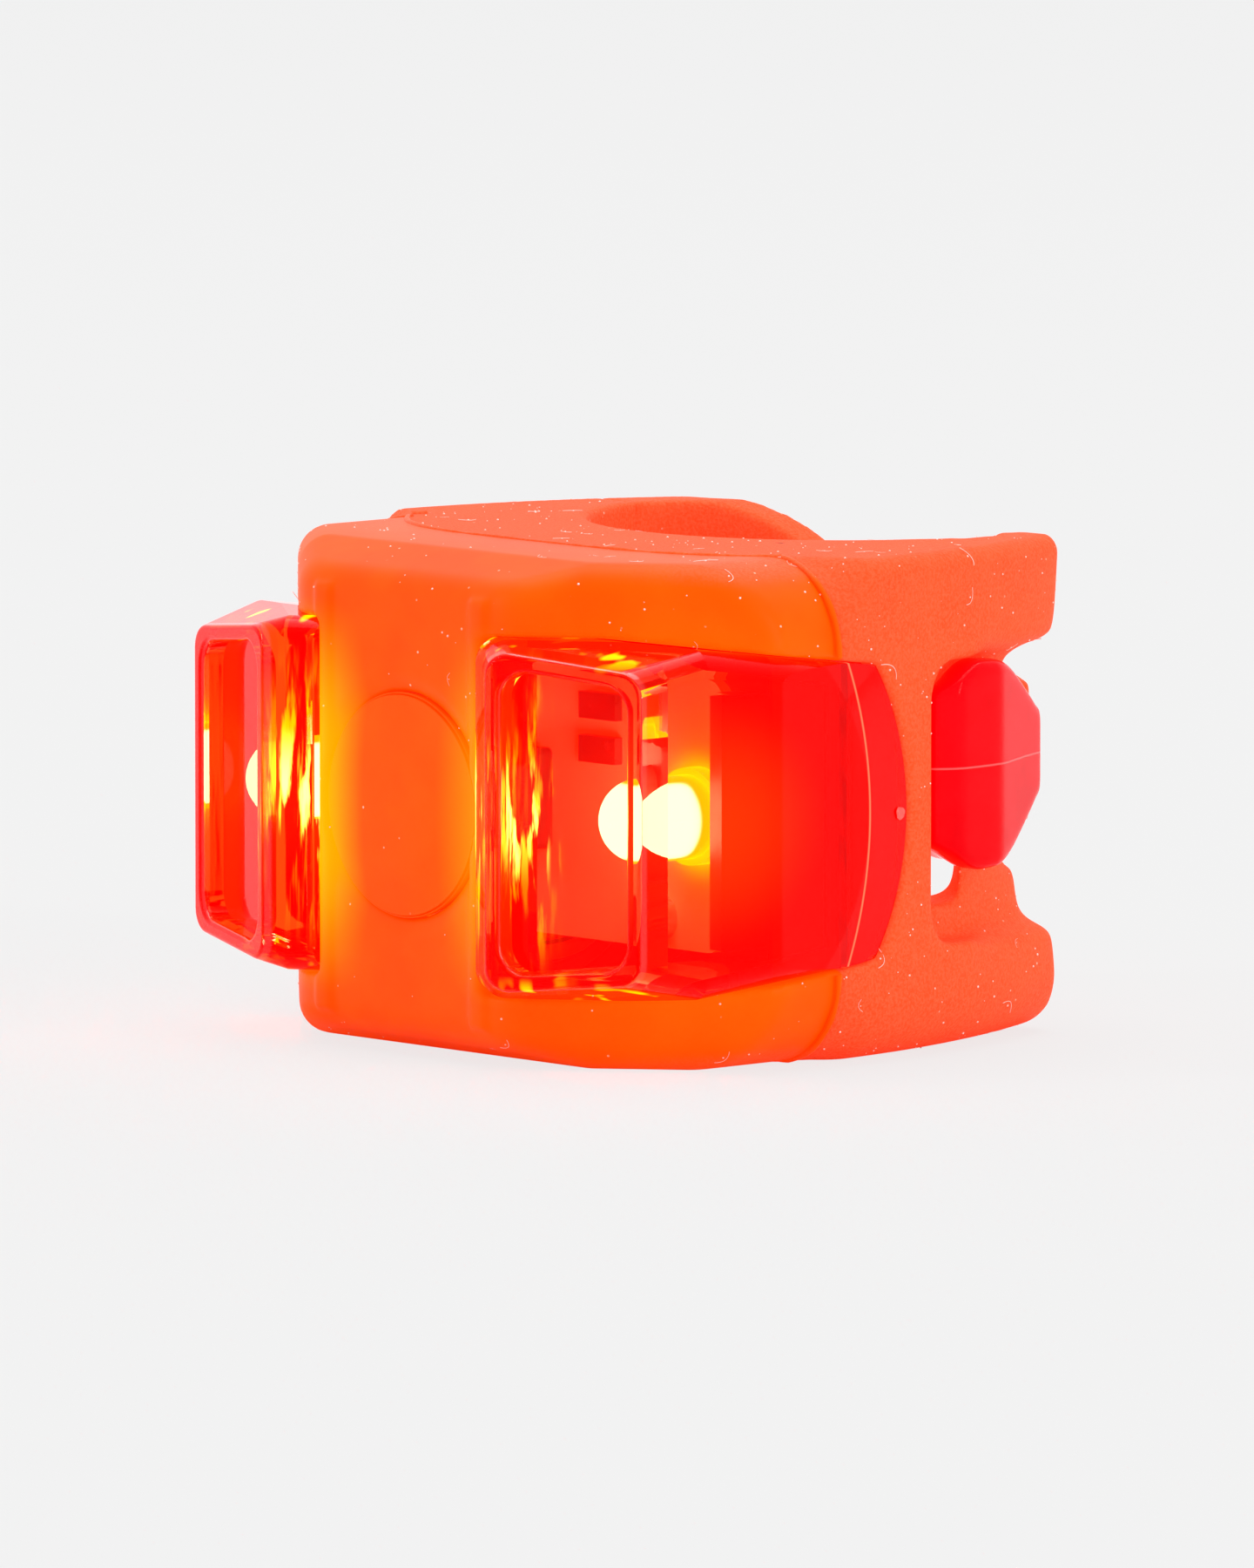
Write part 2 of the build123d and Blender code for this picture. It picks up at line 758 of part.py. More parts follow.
def strap_plan():
    """The strap from above: thick at its root, thin behind the tube."""
    sides = rear_plan(strap_back_y)
    disc = Pos(0, strap_back_y - strap_back_radius) * Circle(strap_back_radius)
    whole = sides & disc
    corners = [v for v in whole.vertices() if v.Y > ear_split_y and abs(v.X) > half_width / 2]
    whole = fillet(corners, strap_corner_round)
    return whole - tube_hole()


def strap_profile():
    """The strap from behind: full height at its root, easing down to the hook's tang."""
    top_end = strap_tip_rise + strap_tip_height / 2
    low_end = strap_tip_rise - strap_tip_height / 2
    level = (1, 0)
    top = Spline((taper_start_x, half_height), (taper_end_x, top_end), tangents=[level, level])
    low = Spline((taper_start_x, -half_height), (taper_end_x, low_end), tangents=[level, level])
    edges = Line((-half_width - overrun, half_height), (taper_start_x, half_height)) + top
    edges += Polyline(
        (taper_end_x, top_end), (strap_end_x, top_end), (strap_end_x, low_end), (taper_end_x, low_end)
    )
    edges += low + Polyline(
        (taper_start_x, -half_height), (-half_width - overrun, -half_height),
        (-half_width - overrun, half_height),
    )
    return make_face(edges)


def make_strap():
    """The silicone strap from its bending root round the back of the tube to the hook."""
    strap = upright(strap_plan()) & rear_form(strap_back_y)
    strap &= slab(strap_split_y + strap_split_gap, strap_back_y)
    strap &= between(strap_profile(), 0, strap_back_y + overrun)
    right_side = bar(body_width, 2 * body_height, half_width, 0, 0, bar_end_y + hook_clearance)
    return strap - right_side - make_strap_hook()


def make_button_dome():
    """The domed press button with the post that reaches the switch."""
    radius = button_diameter / 2
    rear = shell_inset - button_travel - button_stop_gap
    profile = Polyline(
        (0, -button_dome_height), (0, button_post_end_y), (button_post_diameter / 2, button_post_end_y),
        (button_post_diameter / 2, rear), (radius, rear), (radius, 0)
    )
    sag_x = radius / math.sqrt(2)
    dome_radius = (radius**2 + button_dome_height**2) / (2 * button_dome_height)
    sag_y = -button_dome_height + dome_radius - math.sqrt(dome_radius**2 - sag_x**2)
    dome = ThreePointArc((radius, 0), (sag_x, sag_y), (0, -button_dome_height))
    return revolve(make_face(profile + dome), axis=Axis.Y)


def make_circuit_board():
    """The board that carries the diodes and the switch, drilled for leads and screws."""
    outline = RectangleRounded(board_width, board_height, board_corner_round)
    board = between(outline, board_front_y, board_back_y)
    for side in (-1, 1):
        board -= rod(
            screw_diameter + 2 * screw_hole_gap, side * screw_x, -side * screw_z, board_front_y - overrun,
            board_back_y + overrun,
        )
        for lead in (-1, 1):
            board -= rod(
                lead_diameter + 2 * lead_hole_gap, side * led_x + lead * lead_pitch / 2, 0,
                board_front_y - overrun, board_back_y + overrun,
            )
    return board


def make_board_screws():
    """Two self-tapping screws that hold the board to the rear shell's bosses."""
    screws = []
    for side in (-1, 1):
        x, z = side * screw_x, -side * screw_z
        head = rod(screw_head_diameter, x, z, board_front_y - screw_head_height, board_front_y)
        shank = rod(screw_diameter, x, z, board_front_y, board_front_y + screw_length)
        screws.append(head + shank)
    return Compound(children=screws)


def make_led(side):
    """A round light-emitting diode with its flange, facing forward behind the lens block."""
    radius = led_diameter / 2
    tip = board_front_y - led_height
    flange = led_flange_diameter / 2
    profile = Polyline(
        (0, tip), (0, board_front_y), (flange, board_front_y), (flange, board_front_y - led_flange_height),
        (radius, board_front_y - led_flange_height), (radius, tip + radius)
    )
    dome = ThreePointArc(
        (radius, tip + radius), (radius / math.sqrt(2), tip + radius - radius / math.sqrt(2)), (0, tip)
    )
    return Pos(side * led_x, 0, 0) * revolve(make_face(profile + dome), axis=Axis.Y)


def make_led_leads():
    """The four leads, which pass through the board and stand a little behind it."""
    half_pitch = lead_pitch / 2
    leads = [
        rod(lead_diameter, side * led_x + lead * half_pitch, 0, board_front_y, board_back_y + lead_stub)
        for side in (-1, 1)
        for lead in (-1, 1)
    ]
    return Compound(children=leads)


def make_switch_body():
    """The press switch's square body, with the bore that its plunger slides in."""
    body = between(RectangleRounded(switch_size, switch_size, switch_round), switch_front_y, board_front_y)
    bore_end = switch_front_y + plunger_insertion + button_travel + button_stop_gap
    return body - rod(plunger_diameter + 2 * plunger_bore_gap, 0, 0, switch_front_y - overrun, bore_end)


def make_switch_plunger():
    """The switch's round plunger."""
    start = button_post_end_y + plunger_touch_gap
    return rod(plunger_diameter, 0, 0, start, switch_front_y + plunger_insertion)


def make_controller_chip():
    """The flashing controller's moulded body."""
    front = board_front_y - chip_stand_off - chip_thickness
    return bar(chip_width, chip_height, chip_x, chip_z, front, board_front_y - chip_stand_off)


def make_chip_legs():
    """The controller's eight legs."""
    legs = []
    for row in (-1, 1):
        for column in range(4):
            x = chip_x + (column - 1.5) * chip_leg_pitch
            z = chip_z + row * (chip_height + chip_leg_length) / 2
            front = board_front_y - chip_leg_thickness
            legs.append(bar(chip_leg_width, chip_leg_length, x, z, front, board_front_y))
    return Compound(children=legs)


def make_resistors():
    """Two surface-mounted resistors, one for each diode."""
    return Compound(
        children=[
            bar(
                resistor_length, resistor_width, resistor_x, resistor_z + side * resistor_pitch / 2,
                board_front_y - resistor_thickness, board_front_y,
            )
            for side in (-1, 1)
        ]
    )


def make_cell_can(front_y):
    """A coin cell's positive can, open at the front where the cap sits."""
    start = front_y + cell_cap_rise
    can = rod(cell_diameter, 0, 0, start, front_y + cell_thickness)
    can = fillet(can.edges().sort_by(Axis.Y)[-1], cell_edge_round)
    return can - rod(cell_cap_diameter + 2 * cell_gasket_width, 0, 0, front_y, start + cell_cap_depth)


def make_cell_cap(front_y):
    """A coin cell's negative cap."""
    cap = rod(cell_cap_diameter, 0, 0, front_y, front_y + cell_cap_rise + cell_cap_depth)
    return fillet(cap.edges().sort_by(Axis.Y)[0], cell_edge_round / 2)


def make_cell_gaskets():
    """The insulating rings between each cell's can and cap."""
    rings = []
    for front_y in (cell_front_y, cell_front_y + cell_thickness):
        start, end = front_y + cell_cap_rise, front_y + cell_cap_rise + cell_cap_depth
        ring = rod(cell_cap_diameter + 2 * cell_gasket_width, 0, 0, start, end)
        rings.append(ring - rod(cell_cap_diameter, 0, 0, start, end))
    return Compound(children=rings)


def make_negative_contact():
    """The bowed leaf spring between the board and the front cell's cap."""
    half = spring_length / 2
    middle = board_back_y + spring_bow
    face_y = board_back_y + spring_thickness
    outer = ThreePointArc((-half, face_y), (0, middle), (half, face_y))
    inner = ThreePointArc((half, board_back_y), (0, middle - spring_thickness), (-half, board_back_y))
    ends = Line((half, face_y), (half, board_back_y)) + Line((-half, board_back_y), (-half, face_y))
    return upright(make_face(outer + inner + ends), spring_width / 2)


def make_positive_contact():
    """The strip behind the rear cell, with a leg beside the cells that meets the board."""
    width = strip_pad_end_x - strip_leg_x
    pad = bar(width, strip_width, strip_leg_x + width / 2, 0, cell_back_y, tray_floor_y)
    leg_x = strip_leg_x + strip_thickness / 2
    leg = bar(strip_thickness, strip_width, leg_x, 0, board_back_y, tray_floor_y)
    return pad + leg


pieces = {
    "silicone_body": make_silicone_body(),
    "hook_ear": make_hook_ear(),
    "strap": make_strap(),
    "strap_hook": make_strap_hook(),
    "button_dome": make_button_dome(),
    "lens_shell": make_lens_shell(),
    "rear_shell": make_rear_shell(),
    "shell_seal": make_shell_seal(),
    "circuit_board": make_circuit_board(),
    "board_screws": make_board_screws(),
    "led_left": make_led(-1),
    "led_right": make_led(1),
    "led_leads": make_led_leads(),
    "switch_body": make_switch_body(),
    "switch_plunger": make_switch_plunger(),
    "controller_chip": make_controller_chip(),
    "chip_legs": make_chip_legs(),
    "resistors": make_resistors(),
    "front_cell_can": make_cell_can(cell_front_y),
    "front_cell_cap": make_cell_cap(cell_front_y),
    "rear_cell_can": make_cell_can(cell_front_y + cell_thickness),
    "rear_cell_cap": make_cell_cap(cell_front_y + cell_thickness),
    "cell_gaskets": make_cell_gaskets(),
    "negative_contact": make_negative_contact(),
    "positive_contact": make_positive_contact(),
}

# Sets the light down with the origin under the middle of its box
boxes = [shape.bounding_box() for shape in pieces.values()]
middle_y = (min(b.min.Y for b in boxes) + max(b.max.Y for b in boxes)) / 2
bottom_z = min(b.min.Z for b in boxes)
os.makedirs("parts", exist_ok=True)
for name, shape in pieces.items():
    placed = [Pos(0, -middle_y, -bottom_z) * solid for solid in shape.solids()]
    export_step(placed[0] if len(placed) == 1 else Compound(placed), f"parts/{name}.step")
print("moved back by", middle_y, "and up by", -bottom_z)
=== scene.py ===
import math

import bmesh
import bpy
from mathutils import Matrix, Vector


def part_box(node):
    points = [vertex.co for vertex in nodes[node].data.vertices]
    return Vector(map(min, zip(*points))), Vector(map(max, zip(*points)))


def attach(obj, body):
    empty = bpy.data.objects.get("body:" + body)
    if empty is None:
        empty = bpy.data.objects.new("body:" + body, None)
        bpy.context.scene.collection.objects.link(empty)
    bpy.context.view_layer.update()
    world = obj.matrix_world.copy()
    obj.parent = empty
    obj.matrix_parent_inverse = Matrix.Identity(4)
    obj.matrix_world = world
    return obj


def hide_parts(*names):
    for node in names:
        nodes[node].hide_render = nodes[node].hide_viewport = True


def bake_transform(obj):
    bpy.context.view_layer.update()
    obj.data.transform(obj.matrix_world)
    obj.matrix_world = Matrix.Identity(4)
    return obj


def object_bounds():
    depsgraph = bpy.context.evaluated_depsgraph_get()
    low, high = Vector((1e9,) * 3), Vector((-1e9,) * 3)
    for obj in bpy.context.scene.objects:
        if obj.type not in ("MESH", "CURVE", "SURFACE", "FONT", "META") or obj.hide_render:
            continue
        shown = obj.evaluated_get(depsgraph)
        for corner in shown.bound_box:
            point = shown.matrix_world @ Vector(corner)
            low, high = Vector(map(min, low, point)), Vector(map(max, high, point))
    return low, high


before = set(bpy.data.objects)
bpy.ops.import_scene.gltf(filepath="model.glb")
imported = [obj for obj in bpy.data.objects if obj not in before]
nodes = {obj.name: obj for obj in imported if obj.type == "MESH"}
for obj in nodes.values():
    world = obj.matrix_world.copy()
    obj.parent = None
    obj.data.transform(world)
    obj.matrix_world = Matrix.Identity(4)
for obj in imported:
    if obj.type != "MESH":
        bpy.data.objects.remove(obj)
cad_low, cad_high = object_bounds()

MM = 0.001

# Circuit board
# A small glass-fibre board in white solder mask, drilled for the lamps and for two screws.
# It carries the switch in the middle, the controller and two resistors. It glows faintly all over
# with painted light, and a painted yellow pool of lamp light lies round each lamp.


class Wire:
    """One output of a material node. Sums, products and comparisons add Math nodes."""

    def __init__(self, finish, socket):
        self.finish = finish
        self.socket = socket

    def math(self, operation, first, second=None):
        values = {0: first} if second is None else {0: first, 1: second}
        return self.finish.add("ShaderNodeMath", {"operation": operation}, values)

    def __add__(self, other):
        return self.math("ADD", self, other)

    __radd__ = __add__

    def __mul__(self, other):
        return self.math("MULTIPLY", self, other)

    __rmul__ = __mul__

    def __sub__(self, other):
        return self.math("SUBTRACT", self, other)

    def __rsub__(self, other):
        return self.math("SUBTRACT", other, self)

    def __truediv__(self, other):
        return self.math("DIVIDE", self, other)

    def __rtruediv__(self, other):
        return self.math("DIVIDE", other, self)

    def __pow__(self, other):
        return self.math("POWER", self, other)

    def __abs__(self):
        return self.math("ABSOLUTE", self)

    def larger(self, other):
        return self.math("MAXIMUM", self, other)

    def smaller(self, other):
        return self.math("MINIMUM", self, other)

    def fade(self, start, end):
        """0 at start, 1 at end, smooth between, either way round."""
        settings = {"interpolation_type": "SMOOTHSTEP"}
        inputs = {"Value": self, "From Min": start, "From Max": end}
        return self.finish.add("ShaderNodeMapRange", settings, inputs)


class Finish:
    """A material made of nodes, added one at a time with their settings and inputs."""

    def __init__(self, name):
        self.material = bpy.data.materials.new(name)
        self.material.use_nodes = True
        self.tree = self.material.node_tree
        self.tree.nodes.clear()
        self.place = self.add("ShaderNodeTexCoord", {}, {}, "Object")
        self.output = self.tree.nodes.new("ShaderNodeOutputMaterial")

    def add(self, kind, settings, inputs, output=0):
        node = self.tree.nodes.new(kind)
        for key, value in settings.items():
            setattr(node, key, value)
        for key, value in inputs.items():
            if isinstance(value, Wire):
                self.tree.links.new(value.socket, node.inputs[key])
            else:
                node.inputs[key].default_value = value
        return Wire(self, node.outputs[output])

    def noise(self, scale, detail=2.0, roughness=0.5, where=None):
        values = {"Vector": where or self.place, "Scale": scale, "Detail": detail, "Roughness": roughness}
        return self.add("ShaderNodeTexNoise", {}, values)

    def drawn_out(self, scale, detail):
        """Noise that is longest along the axis with the smallest scale."""
        where = self.add("ShaderNodeMapping", {}, {"Vector": self.place, "Scale": scale})
        return self.noise(1.0, detail, where=where)

    def mix(self, factor, first, second):
        settings = {"data_type": "RGBA", "clamp_factor": True}
        return self.add("ShaderNodeMix", settings, {0: factor, 6: first, 7: second}, 2)

    def parts(self):
        """The place's three coordinates."""
        outputs = self.add("ShaderNodeSeparateXYZ", {}, {0: self.place}).socket.node.outputs
        return [Wire(self, outputs[axis]) for axis in range(3)]

    def bump(self, height, depth, strength=1.0, normal=None):
        values = {"Height": height, "Distance": depth, "Strength": strength}
        if normal:
            values["Normal"] = normal
        return self.add("ShaderNodeBump", {}, values)

    def surface(self, **inputs):
        values = {key.replace("_", " "): value for key, value in inputs.items()}
        shader = self.add("ShaderNodeBsdfPrincipled", {}, values)
        self.tree.links.new(shader.socket, self.output.inputs["Surface"])
        return self.material


# A pair of lengths gives where a fade starts and where it is full, here and in what follows.
board_painted_halo = (5.2 * MM, 2.6 * MM)
solder_mask_bump = 0.02 * MM
lamp_radius = 2.5 * MM
lamp_low, lamp_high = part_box("led_right")
lamp_x = (lamp_low.x + lamp_high.x) / 2
lamp_z = (lamp_low.z + lamp_high.z) / 2
lamp_centres = [Vector((side * lamp_x, lamp_low.y + 2 * lamp_radius, lamp_z)) for side in (-1, 1)]


def distance_to(finish, point, scale=(1, 1, 1)):
    """Distance in metres from a point, with each axis weighed by a scale."""
    offset = finish.add("ShaderNodeVectorMath", {"operation": "SUBTRACT"}, {0: finish.place, 1: point})
    offset = finish.add("ShaderNodeVectorMath", {"operation": "MULTIPLY"}, {0: offset, 1: scale})
    return finish.add("ShaderNodeVectorMath", {"operation": "LENGTH"}, {0: offset}, "Value")


def near_lamp(finish):
    """Distance in metres from the centre of the nearer lamp."""
    left = distance_to(finish, lamp_centres[0])
    right = distance_to(finish, lamp_centres[1])
    return left.smaller(right)


def dress(material, *names):
    """Gives CAD nodes a material."""
    for name in names:
        nodes[name].material_slots[0].material = material


def laminate():
    finish = Finish("solder_mask")
    weave = finish.noise(2500, 3)
    cloud = finish.noise(300, 2)
    color = finish.mix(cloud.fade(0.35, 0.65), (0.7, 0.68, 0.6, 1), (0.8, 0.78, 0.7, 1))
    # Painted light: a faint glow all over the board and a yellow pool of lamp light round each lamp.
    painted_halo = near_lamp(finish).fade(*board_painted_halo) ** 2.0
    return finish.surface(
        Base_Color=color,
        Roughness=0.3 + 0.2 * weave,
        Emission_Color=finish.mix(painted_halo, (0.3, 0.15, 0.05, 1), (7.0, 6.0, 0.1, 1)),
        Emission_Strength=1.0,
        Normal=finish.bump(weave, solder_mask_bump),
    )


def moulded(name, dark, light, roughness, grain=4000, depth=0.004 * MM):
    """Moulded plastic or rubber: cloudy colour with a fine grain of a given depth."""
    finish = Finish(name)
    cloud = finish.noise(450, 3)
    grain_height = finish.noise(grain, 3)
    color = finish.mix(cloud.fade(0.3, 0.7), (*dark, 1), (*light, 1))
    rough = roughness * (0.85 + 0.3 * grain_height)
    normal = finish.bump(grain_height, depth)
    return finish.surface(Base_Color=color, Roughness=rough, Normal=normal)


def brushed(name, dark, light, roughness, stretch=(6000, 300, 300), depth=0.003 * MM):
    """Metal with fine lines along one axis."""
    finish = Finish(name)
    lines = finish.drawn_out(stretch, 3)
    cloud = finish.noise(400, 2)
    color = finish.mix(cloud, (*dark, 1), (*light, 1))
    rough = roughness * (0.7 + 0.6 * lines)
    normal = finish.bump(lines, depth)
    return finish.surface(Base_Color=color, Metallic=1.0, Roughness=rough, Normal=normal)


dress(laminate(), "circuit_board")
zinc = brushed("zinc_plating", (0.5, 0.5, 0.53), (0.72, 0.72, 0.74), roughness=0.3)
dress(zinc, "board_screws")
switch_black = moulded("switch_case", (0.012, 0.012, 0.013), (0.03, 0.03, 0.032), roughness=0.5)
dress(switch_black, "switch_body")
switch_cream = moulded("switch_cream", (0.62, 0.58, 0.46), (0.74, 0.7, 0.6), roughness=0.45)
dress(switch_cream, "switch_plunger")
chip_epoxy = moulded(
    "chip_epoxy", (0.01, 0.01, 0.011), (0.022, 0.022, 0.024), roughness=0.6, grain=7000, depth=0.008 * MM
)
dress(chip_epoxy, "controller_chip")
resistor_glaze = moulded("resistor_glaze", (0.008, 0.008, 0.009), (0.02, 0.02, 0.024), roughness=0.25)
dress(resistor_glaze, "resistors")
tinned_copper = brushed("tinned_copper", (0.55, 0.54, 0.52), (0.75, 0.74, 0.72), roughness=0.28)
dress(tinned_copper, "chip_legs", "led_leads")

# Lamps
# Two round 5 mm diodes in clear epoxy, soldered to the board behind the lenses.
# Lit, each one is white over its dome and yellow at its flange and its upper and lower edges.

white_height = (2.3 * MM, 1.8 * MM)
white_depth = (4.6 * MM, 3.4 * MM)
epoxy_bump = 0.01 * MM


def lamp_glow():
    finish = Finish("lit_epoxy")
    y, z = finish.parts()[1:]
    ripple = finish.noise(1500, 2)
    white = abs(z - lamp_z).fade(*white_height) * (y - lamp_low.y).fade(*white_depth)
    return finish.surface(
        Base_Color=finish.mix(white, (1.0, 0.62, 0.12, 1), (1.0, 0.93, 0.8, 1)),
        Roughness=0.12 + 0.05 * ripple,
        Emission_Color=finish.mix(white, (9.0, 7.0, 0.1, 1), (130.0, 110.0, 950.0, 1)),
        Emission_Strength=1.0,
        Normal=finish.bump(ripple, epoxy_bump),
    )


dress(lamp_glow(), "led_left", "led_right")

# Coin cells and contacts
# Two nickel-plated coin cells lie face to face, each a can and a cap with a nylon gasket.
# A bowed brass leaf feeds the front cell and a brass strip runs back from the rear one.

upright_lines = (300, 300, 6000)
nickel = brushed("nickel_plating", (0.5, 0.5, 0.47), (0.78, 0.77, 0.73), 0.22, stretch=upright_lines)
dress(nickel, "front_cell_can", "rear_cell_can", "front_cell_cap", "rear_cell_cap")
gasket_nylon = moulded("gasket_nylon", (0.03, 0.03, 0.03), (0.06, 0.06, 0.055), roughness=0.5)
dress(gasket_nylon, "cell_gaskets")
spring_brass = brushed("spring_brass", (0.5, 0.34, 0.11), (0.72, 0.53, 0.22), roughness=0.25)
dress(spring_brass, "negative_contact", "positive_contact")

# Rear shell and seal
# The back of the capsule is moulded in opaque red plastic with walls that hold the cells.
# A red silicone gasket closes the joint to the lens moulding.

tray_painted_glow = (9 * MM, 2 * MM)
tray_bump = 0.005 * MM


def tray_red():
    finish = Finish("opaque_red")
    grain = finish.noise(3500, 3)
    cloud = finish.noise(350, 2)
    # Painted light: a faint red glow all over the shell, turning orange near the lamps.
    painted_lamp_light = near_lamp(finish).fade(*tray_painted_glow)
    return finish.surface(
        Base_Color=finish.mix(cloud.fade(0.3, 0.7), (0.62, 0.002, 0.001, 1), (0.8, 0.004, 0.001, 1)),
        Roughness=0.35 + 0.1 * grain,
        Emission_Color=finish.mix(painted_lamp_light, (0.5, 0.0, 0.0, 1), (1.6, 0.5, 0.0, 1)),
        Emission_Strength=1.0,
        Normal=finish.bump(grain, tray_bump),
    )


dress(tray_red(), "rear_shell")
seal_red = moulded("seal_red", (0.5, 0.01, 0.005), (0.7, 0.02, 0.01), 0.6, grain=5000, depth=0.01 * MM)
dress(seal_red, "shell_seal")

# Lens moulding
# One piece of clear red plastic: a cup under the silicone and two hollow blocks that stand
# out of it. Its faces are polished and its rims shine. Its glow, the yellow streaks in its thick
# walls, the glints at their edges and a line along each bevel are painted light. A small gate
# mark is left on the bevel of each block.

lens_low, lens_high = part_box("lens_shell")
lens_middle_z = (lens_low.z + lens_high.z) / 2
rim_x = 10.0 * MM
rim_slope = (0.311, -0.95)
rim_front = (0.03 * MM, 0.12 * MM)
rim_back = (0.5 * MM, 0.34 * MM)
end_fillets = (11.6 * MM, 12.4 * MM)
wall_across = (13.0 * MM, 12.2 * MM)
wall_behind_rim = (0.7 * MM, 1.0 * MM)
wall_depth = (4.2 * MM, 3.6 * MM)
wall_height = (9.5 * MM, 2.0 * MM)
painted_hot_height = (4.2 * MM, 0.6 * MM)
painted_glint_height = (9.0 * MM, 10.0 * MM)
painted_glint_across = (19.5 * MM, 18.5 * MM)
painted_glint_depth = (8.0 * MM, 7.0 * MM)
bevel_centre = Vector((0, -29.07 * MM, lens_middle_z))
bevel_radius = 26.8 * MM
ridge_highlight_width = (0.12 * MM, 0.03 * MM)
ridge_highlight_across = (20.3 * MM, 20.8 * MM)
lens_painted_glow = (9 * MM, 3 * MM)
lens_bump = 0.004 * MM


def clear_red():
    finish = Finish("clear_red_plastic")
    x, y, z = finish.parts()
    across, deep, above = abs(x), y - lens_low.y, abs(z - lens_middle_z)
    flow = finish.drawn_out((900, 900, 120), 2)
    haze = finish.noise(700, 3)
    behind_rim = (across - rim_x) * -rim_slope[0] + deep * -rim_slope[1]
    rim = behind_rim.fade(*rim_back) * behind_rim.fade(*rim_front)
    ends = above.fade(*end_fillets)
    # Painted lamp light: yellow streaks in the inner walls, hotter at the lamps' height, and glints at the
    # edges.
    painted_streaks = finish.drawn_out((1300, 1300, 170), 4).fade(0.53, 0.66)
    wall = across.fade(*wall_across) * behind_rim.fade(*wall_behind_rim) * deep.fade(*wall_depth)
    painted_hot_streaks = wall * above.fade(*painted_hot_height) * painted_streaks
    wall = wall * above.fade(*wall_height)
    painted_glints = finish.drawn_out((420, 300, 160), 2).fade(0.6, 0.68) * above.fade(*painted_glint_height)
    painted_glints = painted_glints * across.fade(*painted_glint_across) * deep.fade(*painted_glint_depth)
    # A painted highlight line along the ridge of each block's bevel.
    from_ridge = abs(distance_to(finish, bevel_centre, (0, 1, 1)) - bevel_radius)
    ridge_highlight = from_ridge.fade(*ridge_highlight_width) * across.fade(*ridge_highlight_across)
    # Painted light: a faint red glow all over the lens, brighter near the lamps.
    light = finish.mix(near_lamp(finish).fade(*lens_painted_glow), (0.3, 0.0, 0.0, 1), (0.5, 0.01, 0.0, 1))
    light = finish.mix(ridge_highlight, light, (0.9, 0.22, 0.1, 1))
    light = finish.mix(painted_streaks * wall + painted_glints, light, (1.5, 0.9, 0.0, 1))
    light = finish.mix(painted_hot_streaks, light, (6.0, 4.0, 0.5, 1))
    return finish.surface(
        Base_Color=(1.0, 0.075, 0.004, 1),
        Roughness=0.02 + 0.05 * haze.fade(0.45, 0.8),
        IOR=1.4,
        Specular_Tint=(1.0, 0.03, 0.02, 1),
        Transmission_Weight=1.0,
        Coat_Weight=(0.9 * rim).larger(0.7 * ends),
        Coat_Roughness=0.05,
        Emission_Color=light,
        Emission_Strength=1.0,
        Normal=finish.bump(flow, lens_bump),
    )


def place_piece(name, mesh, body, material):
    """A finished mesh as a smooth piece of its own that rides on a body, if one is named."""
    mesh.polygons.foreach_set("use_smooth", [True] * len(mesh.polygons))
    if not mesh.materials:
        mesh.materials.append(material)
    piece = bpy.data.objects.new(name, mesh)
    bpy.context.scene.collection.objects.link(piece)
    if body:
        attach(piece, body)
    return piece


gate_x, gate_y, gate_z = 21.53 * MM, 0.45 * MM, 14.8 * MM
gate_lean = 0.12
gate_radius = 0.38 * MM
gate_dimple_share = 0.03
gate_profile_shares = [(0.35, 0.02), (0.6, 0.12), (0.85, 0.1), (1.0, -0.1)]
gate_steps = 18


def gate_mark(name, place, outward):
    """The scar where a moulding was cut off its runner: a low ring round a rough dimple."""
    mark = bmesh.new()
    turn = outward.to_track_quat("Z", "Y")
    rings = []
    for share, rise in gate_profile_shares:
        ring = []
        for step in range(gate_steps):
            angle = 2 * math.pi * step / gate_steps
            wobble = 1 + 0.09 * math.sin(3 * angle + 7 * share) + 0.05 * math.sin(7 * angle)
            flat = Vector((math.cos(angle) * share * wobble, math.sin(angle) * share * wobble, rise))
            ring.append(mark.verts.new(place + turn @ (flat * gate_radius)))
        rings.append(ring)
    middle = mark.verts.new(place + turn @ Vector((0, 0, gate_dimple_share * gate_radius)))
    for step in range(gate_steps):
        after = (step + 1) % gate_steps
        mark.faces.new((middle, rings[0][step], rings[0][after]))
        for inner, outer in zip(rings, rings[1:]):
            mark.faces.new((inner[step], outer[step], outer[after], inner[after]))
    mesh = bpy.data.meshes.new(name)
    mark.to_mesh(mesh)
    mark.free()
    return mesh


dress(clear_red(), "lens_shell")
gate_red = moulded("gate_scar", (0.9, 0.1, 0.08), (1.0, 0.35, 0.3), 0.4, grain=6000, depth=0.02 * MM)
for side, name in ((-1, "lens_gate_left"), (1, "lens_gate_right")):
    gate_mesh = gate_mark(name, Vector((side * gate_x, gate_y, gate_z)), Vector((side, gate_lean, 0)))
    place_piece(name, gate_mesh, "light", gate_red)

# Silicone jacket
# The soft body of the light, moulded in orange-red silicone and pulled over the capsule, with the
# ear that catches the hook. The front half of its mould was polished and the rear half blasted.
# Painted light makes it glow all over, with a painted yellow glow of the lamps on its front panel
# and round the lenses. Its top faces are paler with painted sheen, and its blasted rear is paler
# with its own tone and painted sheen.

